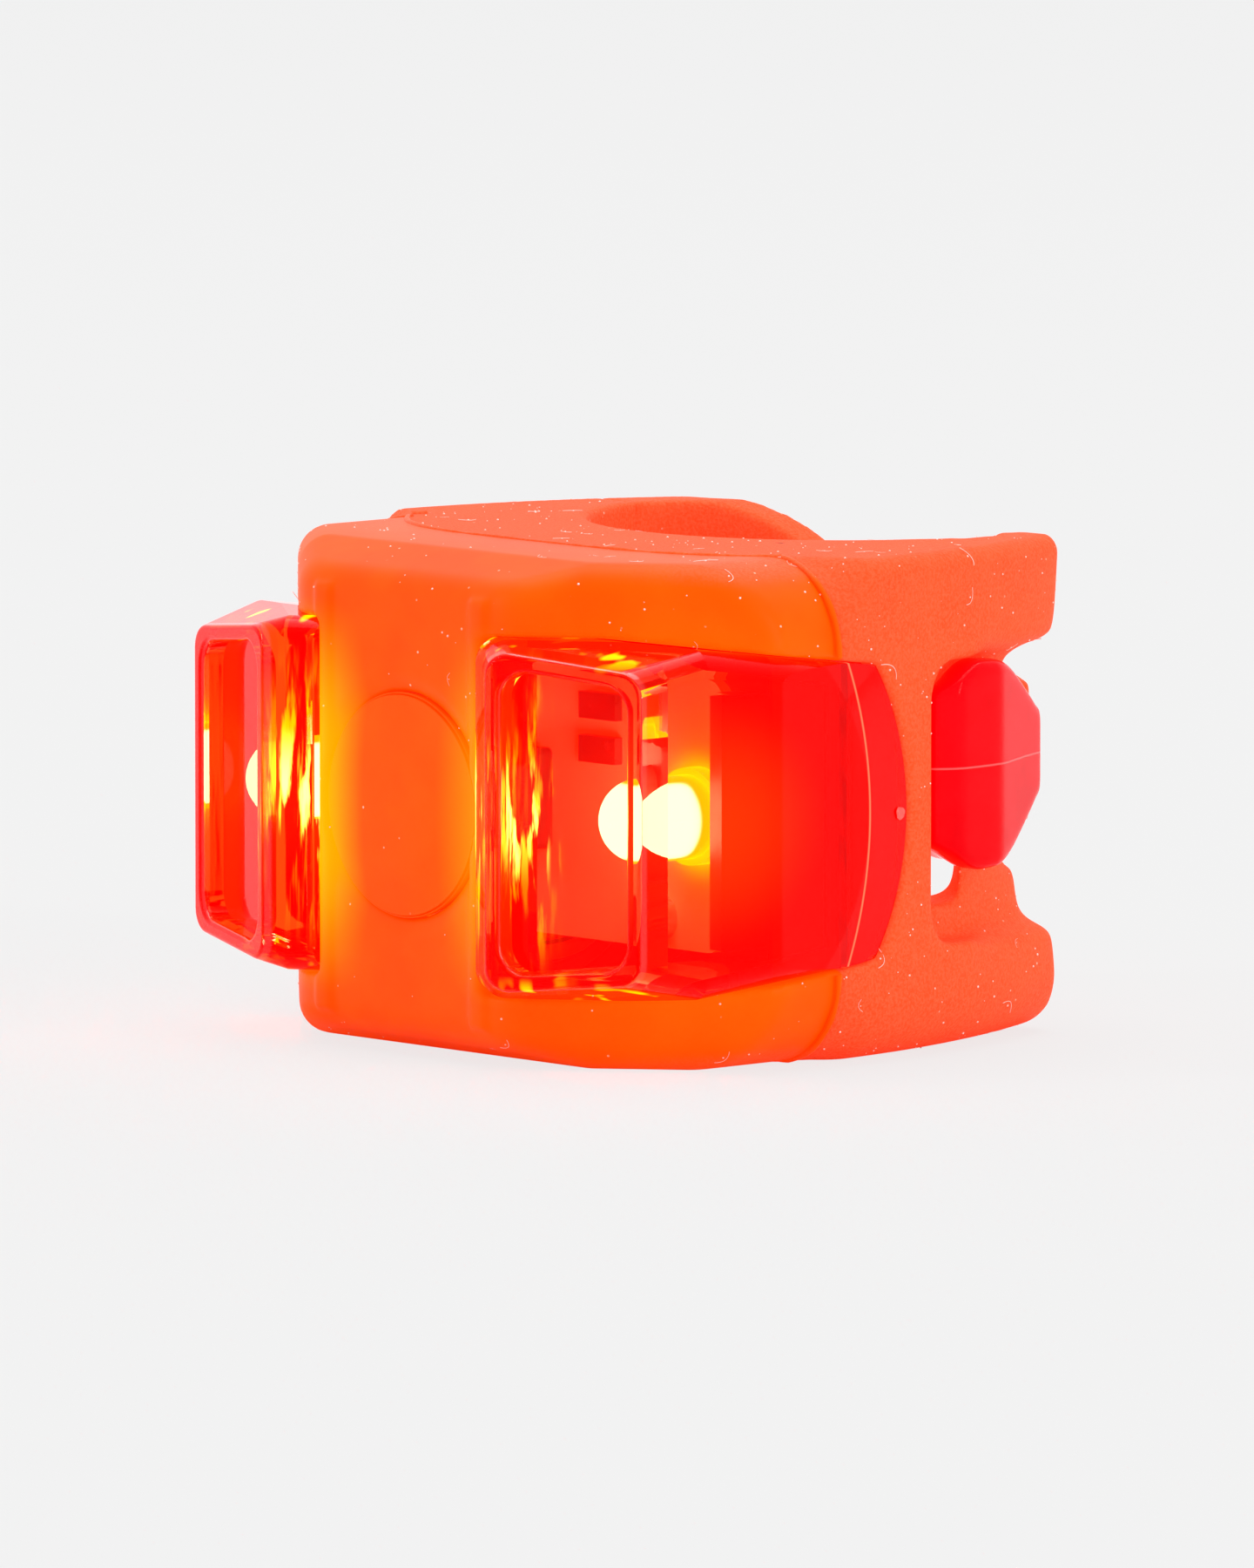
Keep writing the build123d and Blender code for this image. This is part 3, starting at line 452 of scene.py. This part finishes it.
panel_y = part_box("silicone_body")[0].y
parting_y = panel_y + 15.8 * MM
parting_bow = 4.6 * MM
parting_reach = 16.6 * MM
parting_edge = (-0.1 * MM, 0.1 * MM)
top_faces = (13.6 * MM, 14.6 * MM)
right_half = (-2 * MM, 2 * MM)
panel_painted_glow_depth = (2.4 * MM, 0.9 * MM)
panel_painted_glow_across = (2.2 * MM, 9.0 * MM)
panel_painted_glow_height = (13 * MM, 3 * MM)
lens_painted_halo_reach = 7.5 * MM
top_sheen_depth = (4 * MM, 13 * MM)
crumb_place = (10.66 * MM, 0.74 * MM, cad_high.z)
crumb_stretch = (1, 2.6, 1)
crumb_edge = (0.62 * MM, 0.5 * MM)
crumb_raggedness = 0.35 * MM
sand_bump = 0.09 * MM
wave_bump = 0.04 * MM


def silicone():
    finish = Finish("orange_silicone")
    x, y, z = finish.parts()
    across, deep, above = abs(x), y - panel_y, abs(z - lamp_z)
    sand = finish.noise(5200, 3, 0.6)
    wave = finish.noise(260, 2)
    on_top = above.fade(*top_faces)
    arch = 1 - (across / parting_reach) ** 4
    behind = y - parting_y + parting_bow * arch.larger(0.0) * on_top
    blasted = behind.fade(*parting_edge)
    # Painted lamp light: a yellow glow on the front panel, weaker on its right half.
    panel = deep.fade(*panel_painted_glow_depth) * across.fade(*panel_painted_glow_across)
    panel = panel * above.fade(*panel_painted_glow_height) * (1 - 0.5 * x.fade(*right_half))
    # Painted lamp light: a halo round each lens, on the polished front only.
    painted_halo = ((near_lamp(finish) / lens_painted_halo_reach) ** -3.2).smaller(1.0) * (1 - blasted) * 0.35
    specks = finish.add(
        "ShaderNodeTexVoronoi", {"feature": "F1"}, {"Vector": finish.place, "Scale": 900.0}
    )
    dusty = specks.fade(0.09, 0.05) * finish.noise(600, 1).fade(0.55, 0.62)
    crumb = distance_to(finish, crumb_place, crumb_stretch) + crumb_raggedness * sand
    crumb = crumb.fade(*crumb_edge)
    # Paler tone: painted sheen on the top faces, and the blasted finish's own tone with painted sheen
    # behind the parting line.
    blasted_tone_and_top_sheen = (deep.fade(*top_sheen_depth) * on_top).larger(blasted)
    front = finish.mix(wave.fade(0.3, 0.7), (0.93, 0.07, 0.0002, 1), (0.97, 0.085, 0.001, 1))
    rear = finish.mix(wave.fade(0.3, 0.7), (0.93, 0.066, 0.012, 1), (0.97, 0.08, 0.018, 1))
    color = finish.mix(blasted_tone_and_top_sheen, front, rear)
    color = finish.mix(blasted_tone_and_top_sheen * sand.fade(0.34, 0.66), color, (1.0, 0.115, 0.04, 1))
    color = finish.mix(dusty, color, (1.0, 0.55, 0.42, 1))
    color = finish.mix(crumb, color, (0.05, 0.015, 0.01, 1))
    # Painted light: a faint glow all over, a little paler on the blasted rear.
    light = finish.mix(blasted, (0.32, 0.008, 0.0, 1), (0.34, 0.022, 0.006, 1))
    light = finish.mix(panel.larger(painted_halo), light, (0.9, 0.6, 0.0, 1))
    light = finish.mix(crumb, light, (0.0, 0.0, 0.0, 1))
    fine = finish.bump(sand, sand_bump, 0.03 + 0.3 * blasted_tone_and_top_sheen + 0.6 * blasted)
    return finish.surface(
        Base_Color=color,
        Roughness=0.42 + 0.16 * blasted,
        IOR=1.41,
        Specular_IOR_Level=0.2,
        Specular_Tint=(1.0, 0.4, 0.2, 1),
        Emission_Color=light,
        Emission_Strength=1.0,
        Normal=finish.bump(wave, wave_bump, 0.6, fine),
    )


def settled(piece):
    """The piece's mesh with its modifiers worked in, which are then removed."""
    graph = bpy.context.evaluated_depsgraph_get()
    mesh = bpy.data.meshes.new_from_object(piece.evaluated_get(graph))
    piece.modifiers.clear()
    return mesh


weld_distance = 0.0005 * MM
smooth_factor = 0.5
melt_factor = 9


def smooth_by(work, name, weight, passes):
    """Smooths a piece, each place as far as its weight says."""
    group = work.vertex_groups.new(name=name)
    for vertex in work.data.vertices:
        group.add([vertex.index], weight(vertex.co), "REPLACE")
    smooth = work.modifiers.new(name, "SMOOTH")
    smooth.factor, smooth.iterations, smooth.vertex_group = smooth_factor, passes, name


def softened(names, voxel, passes, softness, share, melt=None):
    """CAD solids as one skin with softened edges, thinned to a share of its faces."""
    shape = bmesh.new()
    for name in names:
        shape.from_mesh(nodes[name].data)
    bmesh.ops.remove_doubles(shape, verts=shape.verts, dist=weld_distance)
    mesh = bpy.data.meshes.new("merged")
    shape.to_mesh(mesh)
    shape.free()
    work = bpy.data.objects.new("softening", mesh)
    bpy.context.scene.collection.objects.link(work)
    remesh = work.modifiers.new("skin", "REMESH")
    remesh.mode, remesh.voxel_size = "VOXEL", voxel
    work.data = settled(work)
    smooth_by(work, "soft", softness, passes)
    if melt:
        smooth_by(work, "melt", melt, melt_factor * passes)
    thin = work.modifiers.new("thin", "DECIMATE")
    thin.ratio = share
    result = settled(work)
    result.materials.clear()
    bpy.data.objects.remove(work)
    return result


def ramp(value, start, end):
    """0 at start, 1 at end and straight between."""
    return min(1.0, max(0.0, (value - start) / (end - start)))


def smooth_ramp(value, start, end):
    """0 at start, 1 at end and smooth between."""
    share = ramp(value, start, end)
    return share * share * (3 - 2 * share)


corner_round = 5.5 * MM
side_sweep = 52.0 * MM
tight_top_corner = 1.2 * MM
tight_low_corner = 3.8 * MM
tightening_run = 3 * MM


def side_at(y):
    """Half the jacket's width at a depth behind the parting line, where its sides sweep in."""
    behind = max(0.0, y - parting_y)
    return cad_high.x - side_sweep + math.sqrt(side_sweep ** 2 - behind ** 2)


def square_off(mesh):
    """Behind the parting line the long edges are tighter than the solids' plain rounding."""
    for vertex in mesh.vertices:
        place = vertex.co
        out = abs(place.x) - (side_at(place.y) - corner_round)
        up = abs(place.z - lamp_z) - (lamp_z - corner_round)
        if place.y < parting_y or out <= 0 or up <= 0:
            continue
        wanted = tight_top_corner if place.z > lamp_z else tight_low_corner
        begun = smooth_ramp(place.y, parting_y, parting_y + tightening_run)
        tight = corner_round + (wanted - corner_round) * begun
        far = math.hypot(out, up)
        across, along = out / far, up / far
        flat = corner_round - tight
        if corner_round * min(across, along) <= flat * max(across, along):
            reach = corner_round / max(across, along)
        else:
            middle = flat * (across + along)
            reach = middle + math.sqrt(middle ** 2 - 2 * flat ** 2 + tight ** 2)
        grow = reach / corner_round - 1
        vertex.co.x += math.copysign(out * grow, place.x)
        vertex.co.z += math.copysign(up * grow, place.z - lamp_z)


strap_root_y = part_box("strap")[0].y
front_softness = 0.2
soft_start_y, soft_full_y = parting_y - 0.5 * MM, parting_y + 1.5 * MM
root_firm_y, root_soft_y = strap_root_y - 0.1 * MM, strap_root_y - 1.2 * MM
melt_across = (9 * MM, 12 * MM)
melt_depth = (7.5 * MM, 10.5 * MM)
melt_height = (13 * MM, 9.5 * MM)
silicone_voxel = 0.22 * MM
silicone_passes = 26
jacket_face_share = 0.5


def jacket_softness(place):
    """Firm at the panel and at the strap's root, soft at the ear and the saddle's edges."""
    soft = front_softness + (1 - front_softness) * ramp(place.y, soft_start_y, soft_full_y)
    if place.x < 0:
        soft *= ramp(place.y, root_firm_y, root_soft_y)
    return soft


def ear_melt(place):
    """How far the ear's rear bar and arms flow into each other."""
    inside = ramp(place.x, *melt_across) * ramp(place.y, *melt_depth)
    return inside * ramp(abs(place.z - lamp_z), *melt_height)


orange = silicone()
jacket_mesh = softened(
    ("silicone_body", "hook_ear"), silicone_voxel, silicone_passes, jacket_softness, jacket_face_share,
    melt=ear_melt,
)
square_off(jacket_mesh)
jacket = place_piece("silicone_jacket", jacket_mesh, "light", orange)
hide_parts("silicone_body", "hook_ear")

# Strap
# Moulded in one with the jacket: a silicone band that leaves the jacket's left side, goes round
# the tube and holds the hook's tang in its right end.

strap_firm_y, strap_soft_y = strap_root_y + 0.1 * MM, strap_root_y + 1.5 * MM
strap_seam = 0.12 * MM
strap_overlap = 0.3 * MM
strap_tuck = 0.6 * MM
strap_tuck_across = (9 * MM, 15 * MM)
strap_tuck_way = (0.669, 0.743)
strap_face_share = 0.8


def strap_softness(place):
    return ramp(place.y, strap_firm_y, strap_soft_y) if place.x < 0 else 1.0


strap_mesh = softened(("strap",), silicone_voxel, silicone_passes, strap_softness, strap_face_share)
square_off(strap_mesh)
for vertex in strap_mesh.vertices:
    if vertex.co.x < 0 and vertex.co.y < strap_root_y + strap_seam:
        vertex.co.y -= strap_overlap
    tuck = strap_tuck * smooth_ramp(vertex.co.x, *strap_tuck_across)
    vertex.co.x -= strap_tuck_way[0] * tuck
    vertex.co.y -= strap_tuck_way[1] * tuck
strap = place_piece("silicone_strap", strap_mesh, None, orange)
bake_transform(strap)
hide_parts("strap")

# Parting flash
# A thin, uneven bead of silicone stands where the two halves of the jacket's mould met. It bows
# forward over the top and the underside and runs round the sides to each lens block.

flash_y = parting_y - 0.3 * MM
flash_reach = 21.76 * MM
flash_half_height = 14.96 * MM
flash_stop = 9.4 * MM
flash_steps = 24
flash_corner_steps = 12
flash_curl = [(-17.3 * MM, 2.1 * MM), (-17.7 * MM, 1.2 * MM)]


class Recipe:
    """A Geometry Nodes tree built one node at a time, with named sizes."""

    def __init__(self, name, sizes):
        self.tree = bpy.data.node_groups.new(name, "GeometryNodeTree")
        self.sizes = sizes
        self.keys = {}
        sockets = self.tree.interface
        sockets.new_socket("Geometry", in_out="INPUT", socket_type="NodeSocketGeometry")
        sockets.new_socket("Geometry", in_out="OUTPUT", socket_type="NodeSocketGeometry")
        for label, value in sizes.items():
            kind = "NodeSocketInt" if isinstance(value, int) else "NodeSocketFloat"
            self.keys[label] = sockets.new_socket(label, in_out="INPUT", socket_type=kind).identifier
        self.start = self.tree.nodes.new("NodeGroupInput")
        self.end = self.tree.nodes.new("NodeGroupOutput")

    def size(self, label):
        return self.start.outputs[label]

    def add(self, kind, settings, inputs):
        node = self.tree.nodes.new(kind)
        for key, value in settings.items():
            setattr(node, key, value)
        for key, value in inputs.items():
            if isinstance(value, bpy.types.NodeSocket):
                self.tree.links.new(value, node.inputs[key])
            else:
                node.inputs[key].default_value = value
        return node

    def vector(self, operation, inputs):
        return self.add("ShaderNodeVectorMath", {"operation": operation}, inputs).outputs[0]

    def random(self, least, most, seed):
        limits = {2: least, 3: most, "Seed": seed}
        return self.add("FunctionNodeRandomValue", {"data_type": "FLOAT"}, limits).outputs[1]

    def make(self, mesh, geometry, material):
        """Runs the tree on a mesh and gives the result as a plain mesh."""
        real = self.add("GeometryNodeRealizeInstances", {}, {"Geometry": geometry}).outputs[0]
        painted = self.add("GeometryNodeSetMaterial", {}, {"Geometry": real, "Material": material})
        self.tree.links.new(painted.outputs[0], self.end.inputs[0])
        work = bpy.data.objects.new(self.tree.name, mesh)
        bpy.context.scene.collection.objects.link(work)
        made = work.modifiers.new("made", "NODES")
        made.node_group = self.tree
        for label, key in self.keys.items():
            made[key] = self.sizes[label]
        result = settled(work)
        bpy.data.objects.remove(work)
        return result


def parting_paths():
    """Where the flash runs: over the top and under the bottom, and round to each lens block."""
    paths = []
    for end in (1, -1):
        run = []
        if end > 0:
            run = [(x, flash_y + behind, lamp_z + flash_half_height) for x, behind in flash_curl]
        for step in range(flash_steps + 1):
            x = parting_reach * (step / (flash_steps / 2) - 1)
            bow = parting_bow * (1 - (x / parting_reach) ** 4)
            run.append((x, flash_y - bow, lamp_z + end * flash_half_height))
        for side in (1, -1):
            arc = []
            for step in range(flash_corner_steps + 1):
                angle = math.radians(90 - 90 * step / flash_corner_steps)
                x = flash_reach - corner_round + corner_round * math.cos(angle)
                z = flash_half_height - corner_round + corner_round * math.sin(angle)
                arc.append((side * x, flash_y, lamp_z + end * z))
            arc.append((side * flash_reach, flash_y, lamp_z + end * flash_stop))
            paths.append(run + arc if side > 0 else arc)
    return paths


def flash_line():
    recipe = Recipe("parting_flash", {"Bead radius": 0.2 * MM, "Spacing": 0.25 * MM, "Waver": 0.06 * MM})
    curve = recipe.add("GeometryNodeMeshToCurve", {}, {"Mesh": recipe.start.outputs[0]}).outputs[0]
    even = recipe.add(
        "GeometryNodeResampleCurve", {"mode": "LENGTH"}, {"Curve": curve, "Length": recipe.size("Spacing")}
    )
    noise = recipe.add("ShaderNodeTexNoise", {}, {"Scale": 420.0, "Detail": 2.0}).outputs
    shift = recipe.vector("SUBTRACT", {0: noise["Color"], 1: (0.5, 0.5, 0.5)})
    shift = recipe.vector("SCALE", {0: shift, "Scale": recipe.size("Waver")})
    wavy = recipe.add("GeometryNodeSetPosition", {}, {"Geometry": even.outputs[0], "Offset": shift})
    thickness = recipe.add(
        "ShaderNodeMapRange", {},
        {"Value": noise[0], "From Min": 0.3, "From Max": 0.7, "To Min": 0.6, "To Max": 1.15},
    )
    circle = {"Resolution": 8, "Radius": recipe.size("Bead radius")}
    profile = recipe.add("GeometryNodeCurvePrimitiveCircle", {}, circle)
    bead = recipe.add(
        "GeometryNodeCurveToMesh", {},
        {
            "Curve": wavy.outputs[0], "Profile Curve": profile.outputs[0],
            "Scale": thickness.outputs[0], "Fill Caps": True,
        },
    )
    points, edges = [], []
    for path in parting_paths():
        first = len(points)
        points += path
        edges += [(first + step, first + step + 1) for step in range(len(path) - 1)]
    lines = bpy.data.meshes.new("parting_paths")
    lines.from_pydata(points, edges, [])
    return recipe.make(lines, bead.outputs[0], orange)


place_piece("parting_flash", flash_line(), "light", orange)

# Button
# A round pad in the middle of the front panel, moulded in one with the jacket. A thin wall round
# it shows as a soft floor in the narrow gap.

button_low, button_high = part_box("button_dome")
button_radius = (button_high.x - button_low.x) / 2
web_y = panel_y + 0.3 * MM
web_steps = 96
web_profile = [(0.006, 0.5), (0.03, 0.2), (0.09, 0.14), (0.16, 0.16), (0.16, 0.5)]


def button_web():
    """The thin wall, from its gap and its depth in millimetres at each turn of the profile."""
    ring = bmesh.new()
    rings = []
    for gap, depth in web_profile:
        reach, y = button_radius + gap * MM, web_y + depth * MM
        circle = []
        for step in range(web_steps):
            angle = 2 * math.pi * step / web_steps
            circle.append(ring.verts.new((reach * math.cos(angle), y, lamp_z + reach * math.sin(angle))))
        rings.append(circle)
    for one, two in zip(rings, rings[1:] + rings[:1]):
        for step in range(web_steps):
            after = (step + 1) % web_steps
            ring.faces.new((one[step], one[after], two[after], two[step]))
    bmesh.ops.recalc_face_normals(ring, faces=ring.faces)
    mesh = bpy.data.meshes.new("button_web")
    ring.to_mesh(mesh)
    ring.free()
    return mesh


dress(orange, "button_dome")
place_piece("button_web", button_web(), "light", orange)

# Dust and lint
# Soft silicone is tacky, so specks and short fibres cling to it. They are pale, lie at random
# over the outer faces, and are thickest behind the parting line.

dust_seed = 5
dust_full_y = parting_y + 2 * MM
front_dust_share = 0.25
ray_start = 0.3 * MM
ray_length = 60 * MM
fibre_start = (-0.5 * MM, 0, 0)
fibre_middle = (0.2 * MM, 0.45 * MM, 0)
fibre_end = (0.45 * MM, -0.2 * MM, 0.05 * MM)
fibre_radius = 0.014 * MM
full_turn = 6.28


def dust(name, mesh, seed):
    """Specks and short fibres on the outer faces of one silicone piece."""
    recipe = Recipe(
        name,
        {
            "Specks per square metre": 240000.0, "Fibres per square metre": 36000.0,
            "Speck": 0.055 * MM, "Seed": seed,
        },
    )
    skin, seed_at = recipe.start.outputs[0], recipe.size("Seed")
    where = recipe.add("GeometryNodeInputPosition", {}, {}).outputs[0]
    split = recipe.add("ShaderNodeSeparateXYZ", {}, {0: where})
    more_behind = recipe.add(
        "ShaderNodeMapRange", {},
        {
            "Value": split.outputs[1], "From Min": panel_y, "From Max": dust_full_y,
            "To Min": front_dust_share, "To Max": 1.0,
        },
    )
    ball = {"Radius": recipe.size("Speck"), "Subdivisions": 1}
    speck = recipe.add("GeometryNodeMeshIcoSphere", {}, ball)
    fibre = recipe.add(
        "GeometryNodeCurveQuadraticBezier", {},
        {"Resolution": 7, "Start": fibre_start, "Middle": fibre_middle, "End": fibre_end},
    )
    circle = {"Resolution": 4, "Radius": fibre_radius}
    section = recipe.add("GeometryNodeCurvePrimitiveCircle", {}, circle)
    fibre = recipe.add(
        "GeometryNodeCurveToMesh", {}, {"Curve": fibre.outputs[0], "Profile Curve": section.outputs[0]}
    )
    groups = []
    for shape, density, least, most in (
        (speck, "Specks per square metre", 0.35, 1.5),
        (fibre, "Fibres per square metre", 0.5, 1.6),
    ):
        wanted = recipe.add(
            "ShaderNodeMath", {"operation": "MULTIPLY"},
            {0: more_behind.outputs[0], 1: recipe.size(density)},
        )
        spots = recipe.add(
            "GeometryNodeDistributePointsOnFaces", {},
            {"Mesh": skin, "Density": wanted.outputs[0], "Seed": seed_at},
        )
        outward = spots.outputs["Normal"]
        start = recipe.vector("SCALE", {0: outward, "Scale": ray_start})
        start = recipe.vector("ADD", {0: start, 1: where})
        ray = recipe.add(
            "GeometryNodeRaycast", {},
            {
                "Target Geometry": skin, "Source Position": start,
                "Ray Direction": outward, "Ray Length": ray_length,
            },
        )
        outer = recipe.add(
            "GeometryNodeDeleteGeometry", {},
            {"Geometry": spots.outputs[0], "Selection": ray.outputs["Is Hit"]},
        )
        size = recipe.random(least, most, seed_at)
        spin = recipe.add("ShaderNodeCombineXYZ", {}, {2: recipe.random(0.0, full_turn, seed_at)})
        aimed = recipe.add(
            "FunctionNodeRotateEuler", {"rotation_type": "EULER", "space": "LOCAL"},
            {"Rotation": spots.outputs["Rotation"], "Rotate By": spin.outputs[0]},
        )
        placed = recipe.add(
            "GeometryNodeInstanceOnPoints", {},
            {
                "Points": outer.outputs[0], "Instance": shape.outputs[0],
                "Rotation": aimed.outputs[0], "Scale": size,
            },
        )
        groups.append(placed.outputs[0])
    joined = recipe.add("GeometryNodeJoinGeometry", {}, {})
    for group in groups:
        recipe.tree.links.new(group, joined.inputs[0])
    return recipe.make(mesh.copy(), joined.outputs[0], lint)


lint = moulded("pale_lint", (1.0, 0.68, 0.58), (1.0, 0.88, 0.82), 0.8, grain=9000, depth=0.01 * MM)
place_piece("jacket_dust", dust("jacket_dust", jacket_mesh, dust_seed), "light", lint)

# Hook
# A glossy hook of opaque red plastic, moulded in two halves that leave a fine seam round its
# middle. Its tang is set into the end of the strap.

hook_low, hook_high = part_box("strap_hook")
hook_middle_z = (hook_low.z + hook_high.z) / 2
seam_lift = 0.3 * MM
seam_waver = 0.12 * MM
seam_edge = (0.09 * MM, 0.02 * MM)
seam_bump = 0.05 * MM
hook_bump = 0.006 * MM
hook_voxel = 0.12 * MM
hook_passes = 110
hook_face_share = 0.8
hook_lift = 0.25 * MM
tip_height_share = 0.82
belly_growth_share, belly_ys = 0.23, (3.6 * MM, 8.0 * MM)
neck_loss_share, neck_ys = 0.2, (9.5 * MM, 15.0 * MM)
tang_growth_share, tang_ys = 0.25, (15.0 * MM, 17.0 * MM)


def hook_red():
    finish = Finish("hook_red")
    z = finish.parts()[2]
    grain = finish.noise(2200, 3)
    cloud = finish.noise(300, 2)
    seam = abs(z - hook_middle_z - seam_lift + seam_waver * cloud).fade(*seam_edge)
    color = finish.mix(cloud.fade(0.3, 0.7), (0.78, 0.0, 0.004, 1), (0.92, 0.001, 0.006, 1))
    return finish.surface(
        Base_Color=finish.mix(seam, color, (0.95, 0.12, 0.12, 1)),
        Roughness=0.08 + 0.08 * grain,
        Specular_IOR_Level=0.08,
        Specular_Tint=(1.0, 0.5, 0.5, 1),
        # Painted light: a faint red glow all over the hook.
        Emission_Color=(0.12, 0.0, 0.0, 1),
        Emission_Strength=1.0,
        Normal=finish.bump(seam, seam_bump, 1.0, finish.bump(grain, hook_bump)),
    )


hook_finish = hook_red()
hook_mesh = softened(("strap_hook",), hook_voxel, hook_passes, lambda place: 1.0, hook_face_share)
for vertex in hook_mesh.vertices:
    height_share = tip_height_share + belly_growth_share * smooth_ramp(vertex.co.y, *belly_ys)
    height_share -= neck_loss_share * smooth_ramp(vertex.co.y, *neck_ys)
    height_share += tang_growth_share * smooth_ramp(vertex.co.y, *tang_ys)
    vertex.co.z = hook_middle_z + (vertex.co.z - hook_middle_z) * height_share + hook_lift
hook = place_piece("strap_hook_moulding", hook_mesh, "strap", hook_finish)
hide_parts("strap_hook")

# Floor, light and camera
# A pale floor that runs into a pale backdrop, a soft box from above, two strip lights from the
# sides, and a long lens at the photograph's angle.

backdrop_white = (0.896, 0.896, 0.896, 1)
floor_shown_strength = 0.984
floor_shown_share = 0.88
floor_reach = 3.0
room_strength = 0.5
light_target = Vector((0, 0, 0.015))
camera_azimuth, camera_elevation = math.radians(48), math.radians(6.28)
camera_target = Vector((-0.00096, -0.00106, 0.0148))
camera_distance = 1.2
field_height = 0.09375


def studio_floor():
    finish = Finish("studio_floor")
    grain = finish.noise(40, 3)
    color = finish.mix(grain, (0.74, 0.74, 0.74, 1), (0.76, 0.76, 0.76, 1))
    diffuse = finish.add("ShaderNodeBsdfDiffuse", {}, {"Color": color})
    shown = finish.add(
        "ShaderNodeEmission", {}, {"Color": backdrop_white, "Strength": floor_shown_strength}
    )
    path = finish.add("ShaderNodeLightPath", {}, {}).socket.node.outputs
    seen = Wire(finish, path["Is Camera Ray"]) + Wire(finish, path["Is Transmission Ray"])
    blend = finish.add("ShaderNodeMixShader", {}, {0: floor_shown_share * seen, 1: diffuse, 2: shown})
    finish.tree.links.new(blend.socket, finish.output.inputs["Surface"])
    return finish.material


def make_floor():
    mesh = bpy.data.meshes.new("studio_floor")
    corners = [(x * floor_reach, y * floor_reach, 0) for x, y in ((-1, -1), (1, -1), (1, 1), (-1, 1))]
    mesh.from_pydata(corners, [], [(0, 1, 2, 3)])
    mesh.materials.append(studio_floor())
    floor = bpy.data.objects.new("studio_floor", mesh)
    bpy.context.scene.collection.objects.link(floor)


def soft_box(name, place, width, height, power):
    lamp = bpy.data.lights.new(name, "AREA")
    lamp.shape, lamp.size, lamp.size_y, lamp.energy = "RECTANGLE", width, height, power
    box = bpy.data.objects.new(name, lamp)
    box.location = place
    box.rotation_euler = (light_target - Vector(place)).to_track_quat("-Z", "Y").to_euler()
    bpy.context.scene.collection.objects.link(box)


def make_world():
    world = bpy.data.worlds.new("studio")
    world.use_nodes = True
    tree = world.node_tree
    tree.nodes.clear()
    path = tree.nodes.new("ShaderNodeLightPath").outputs
    seen = path["Is Camera Ray"]
    for kind in ("Is Transmission Ray", "Is Glossy Ray"):
        either = tree.nodes.new("ShaderNodeMath")
        either.operation = "MAXIMUM"
        tree.links.new(seen, either.inputs[0])
        tree.links.new(path[kind], either.inputs[1])
        seen = either.outputs[0]
    blend = tree.nodes.new("ShaderNodeMixShader")
    tree.links.new(seen, blend.inputs[0])
    for slot, color, strength in ((1, (1, 1, 1, 1), room_strength), (2, backdrop_white, 1.0)):
        background = tree.nodes.new("ShaderNodeBackground")
        background.inputs["Color"].default_value = color
        background.inputs["Strength"].default_value = strength
        tree.links.new(background.outputs[0], blend.inputs[slot])
    out = tree.nodes.new("ShaderNodeOutputWorld")
    tree.links.new(blend.outputs[0], out.inputs["Surface"])
    bpy.context.scene.world = world


def make_camera():
    level = math.cos(camera_elevation)
    back = Vector(
        (math.sin(camera_azimuth) * level, -math.cos(camera_azimuth) * level, math.sin(camera_elevation))
    )
    data = bpy.data.cameras.new("camera")
    data.sensor_fit = "AUTO"
    data.sensor_width = 36.0
    data.lens = data.sensor_width * camera_distance / field_height
    data.clip_start, data.clip_end = 0.1, 20.0
    camera = bpy.data.objects.new("camera", data)
    camera.location = camera_target + back * camera_distance
    camera.rotation_euler = (-back).to_track_quat("-Z", "Y").to_euler()
    bpy.context.scene.collection.objects.link(camera)
    bpy.context.scene.camera = camera


make_floor()
make_world()
soft_box("top_box", (-0.2, 0.2, 1.8), width=1.6, height=1.6, power=25.0)
soft_box("left_strip", (-1.0, -1.6, 0.6), width=0.14, height=1.4, power=9.0)
soft_box("right_strip", (1.8, 0.2, 0.5), width=0.14, height=1.4, power=14.4)
make_camera()
bpy.context.scene.view_settings.view_transform = "Standard"
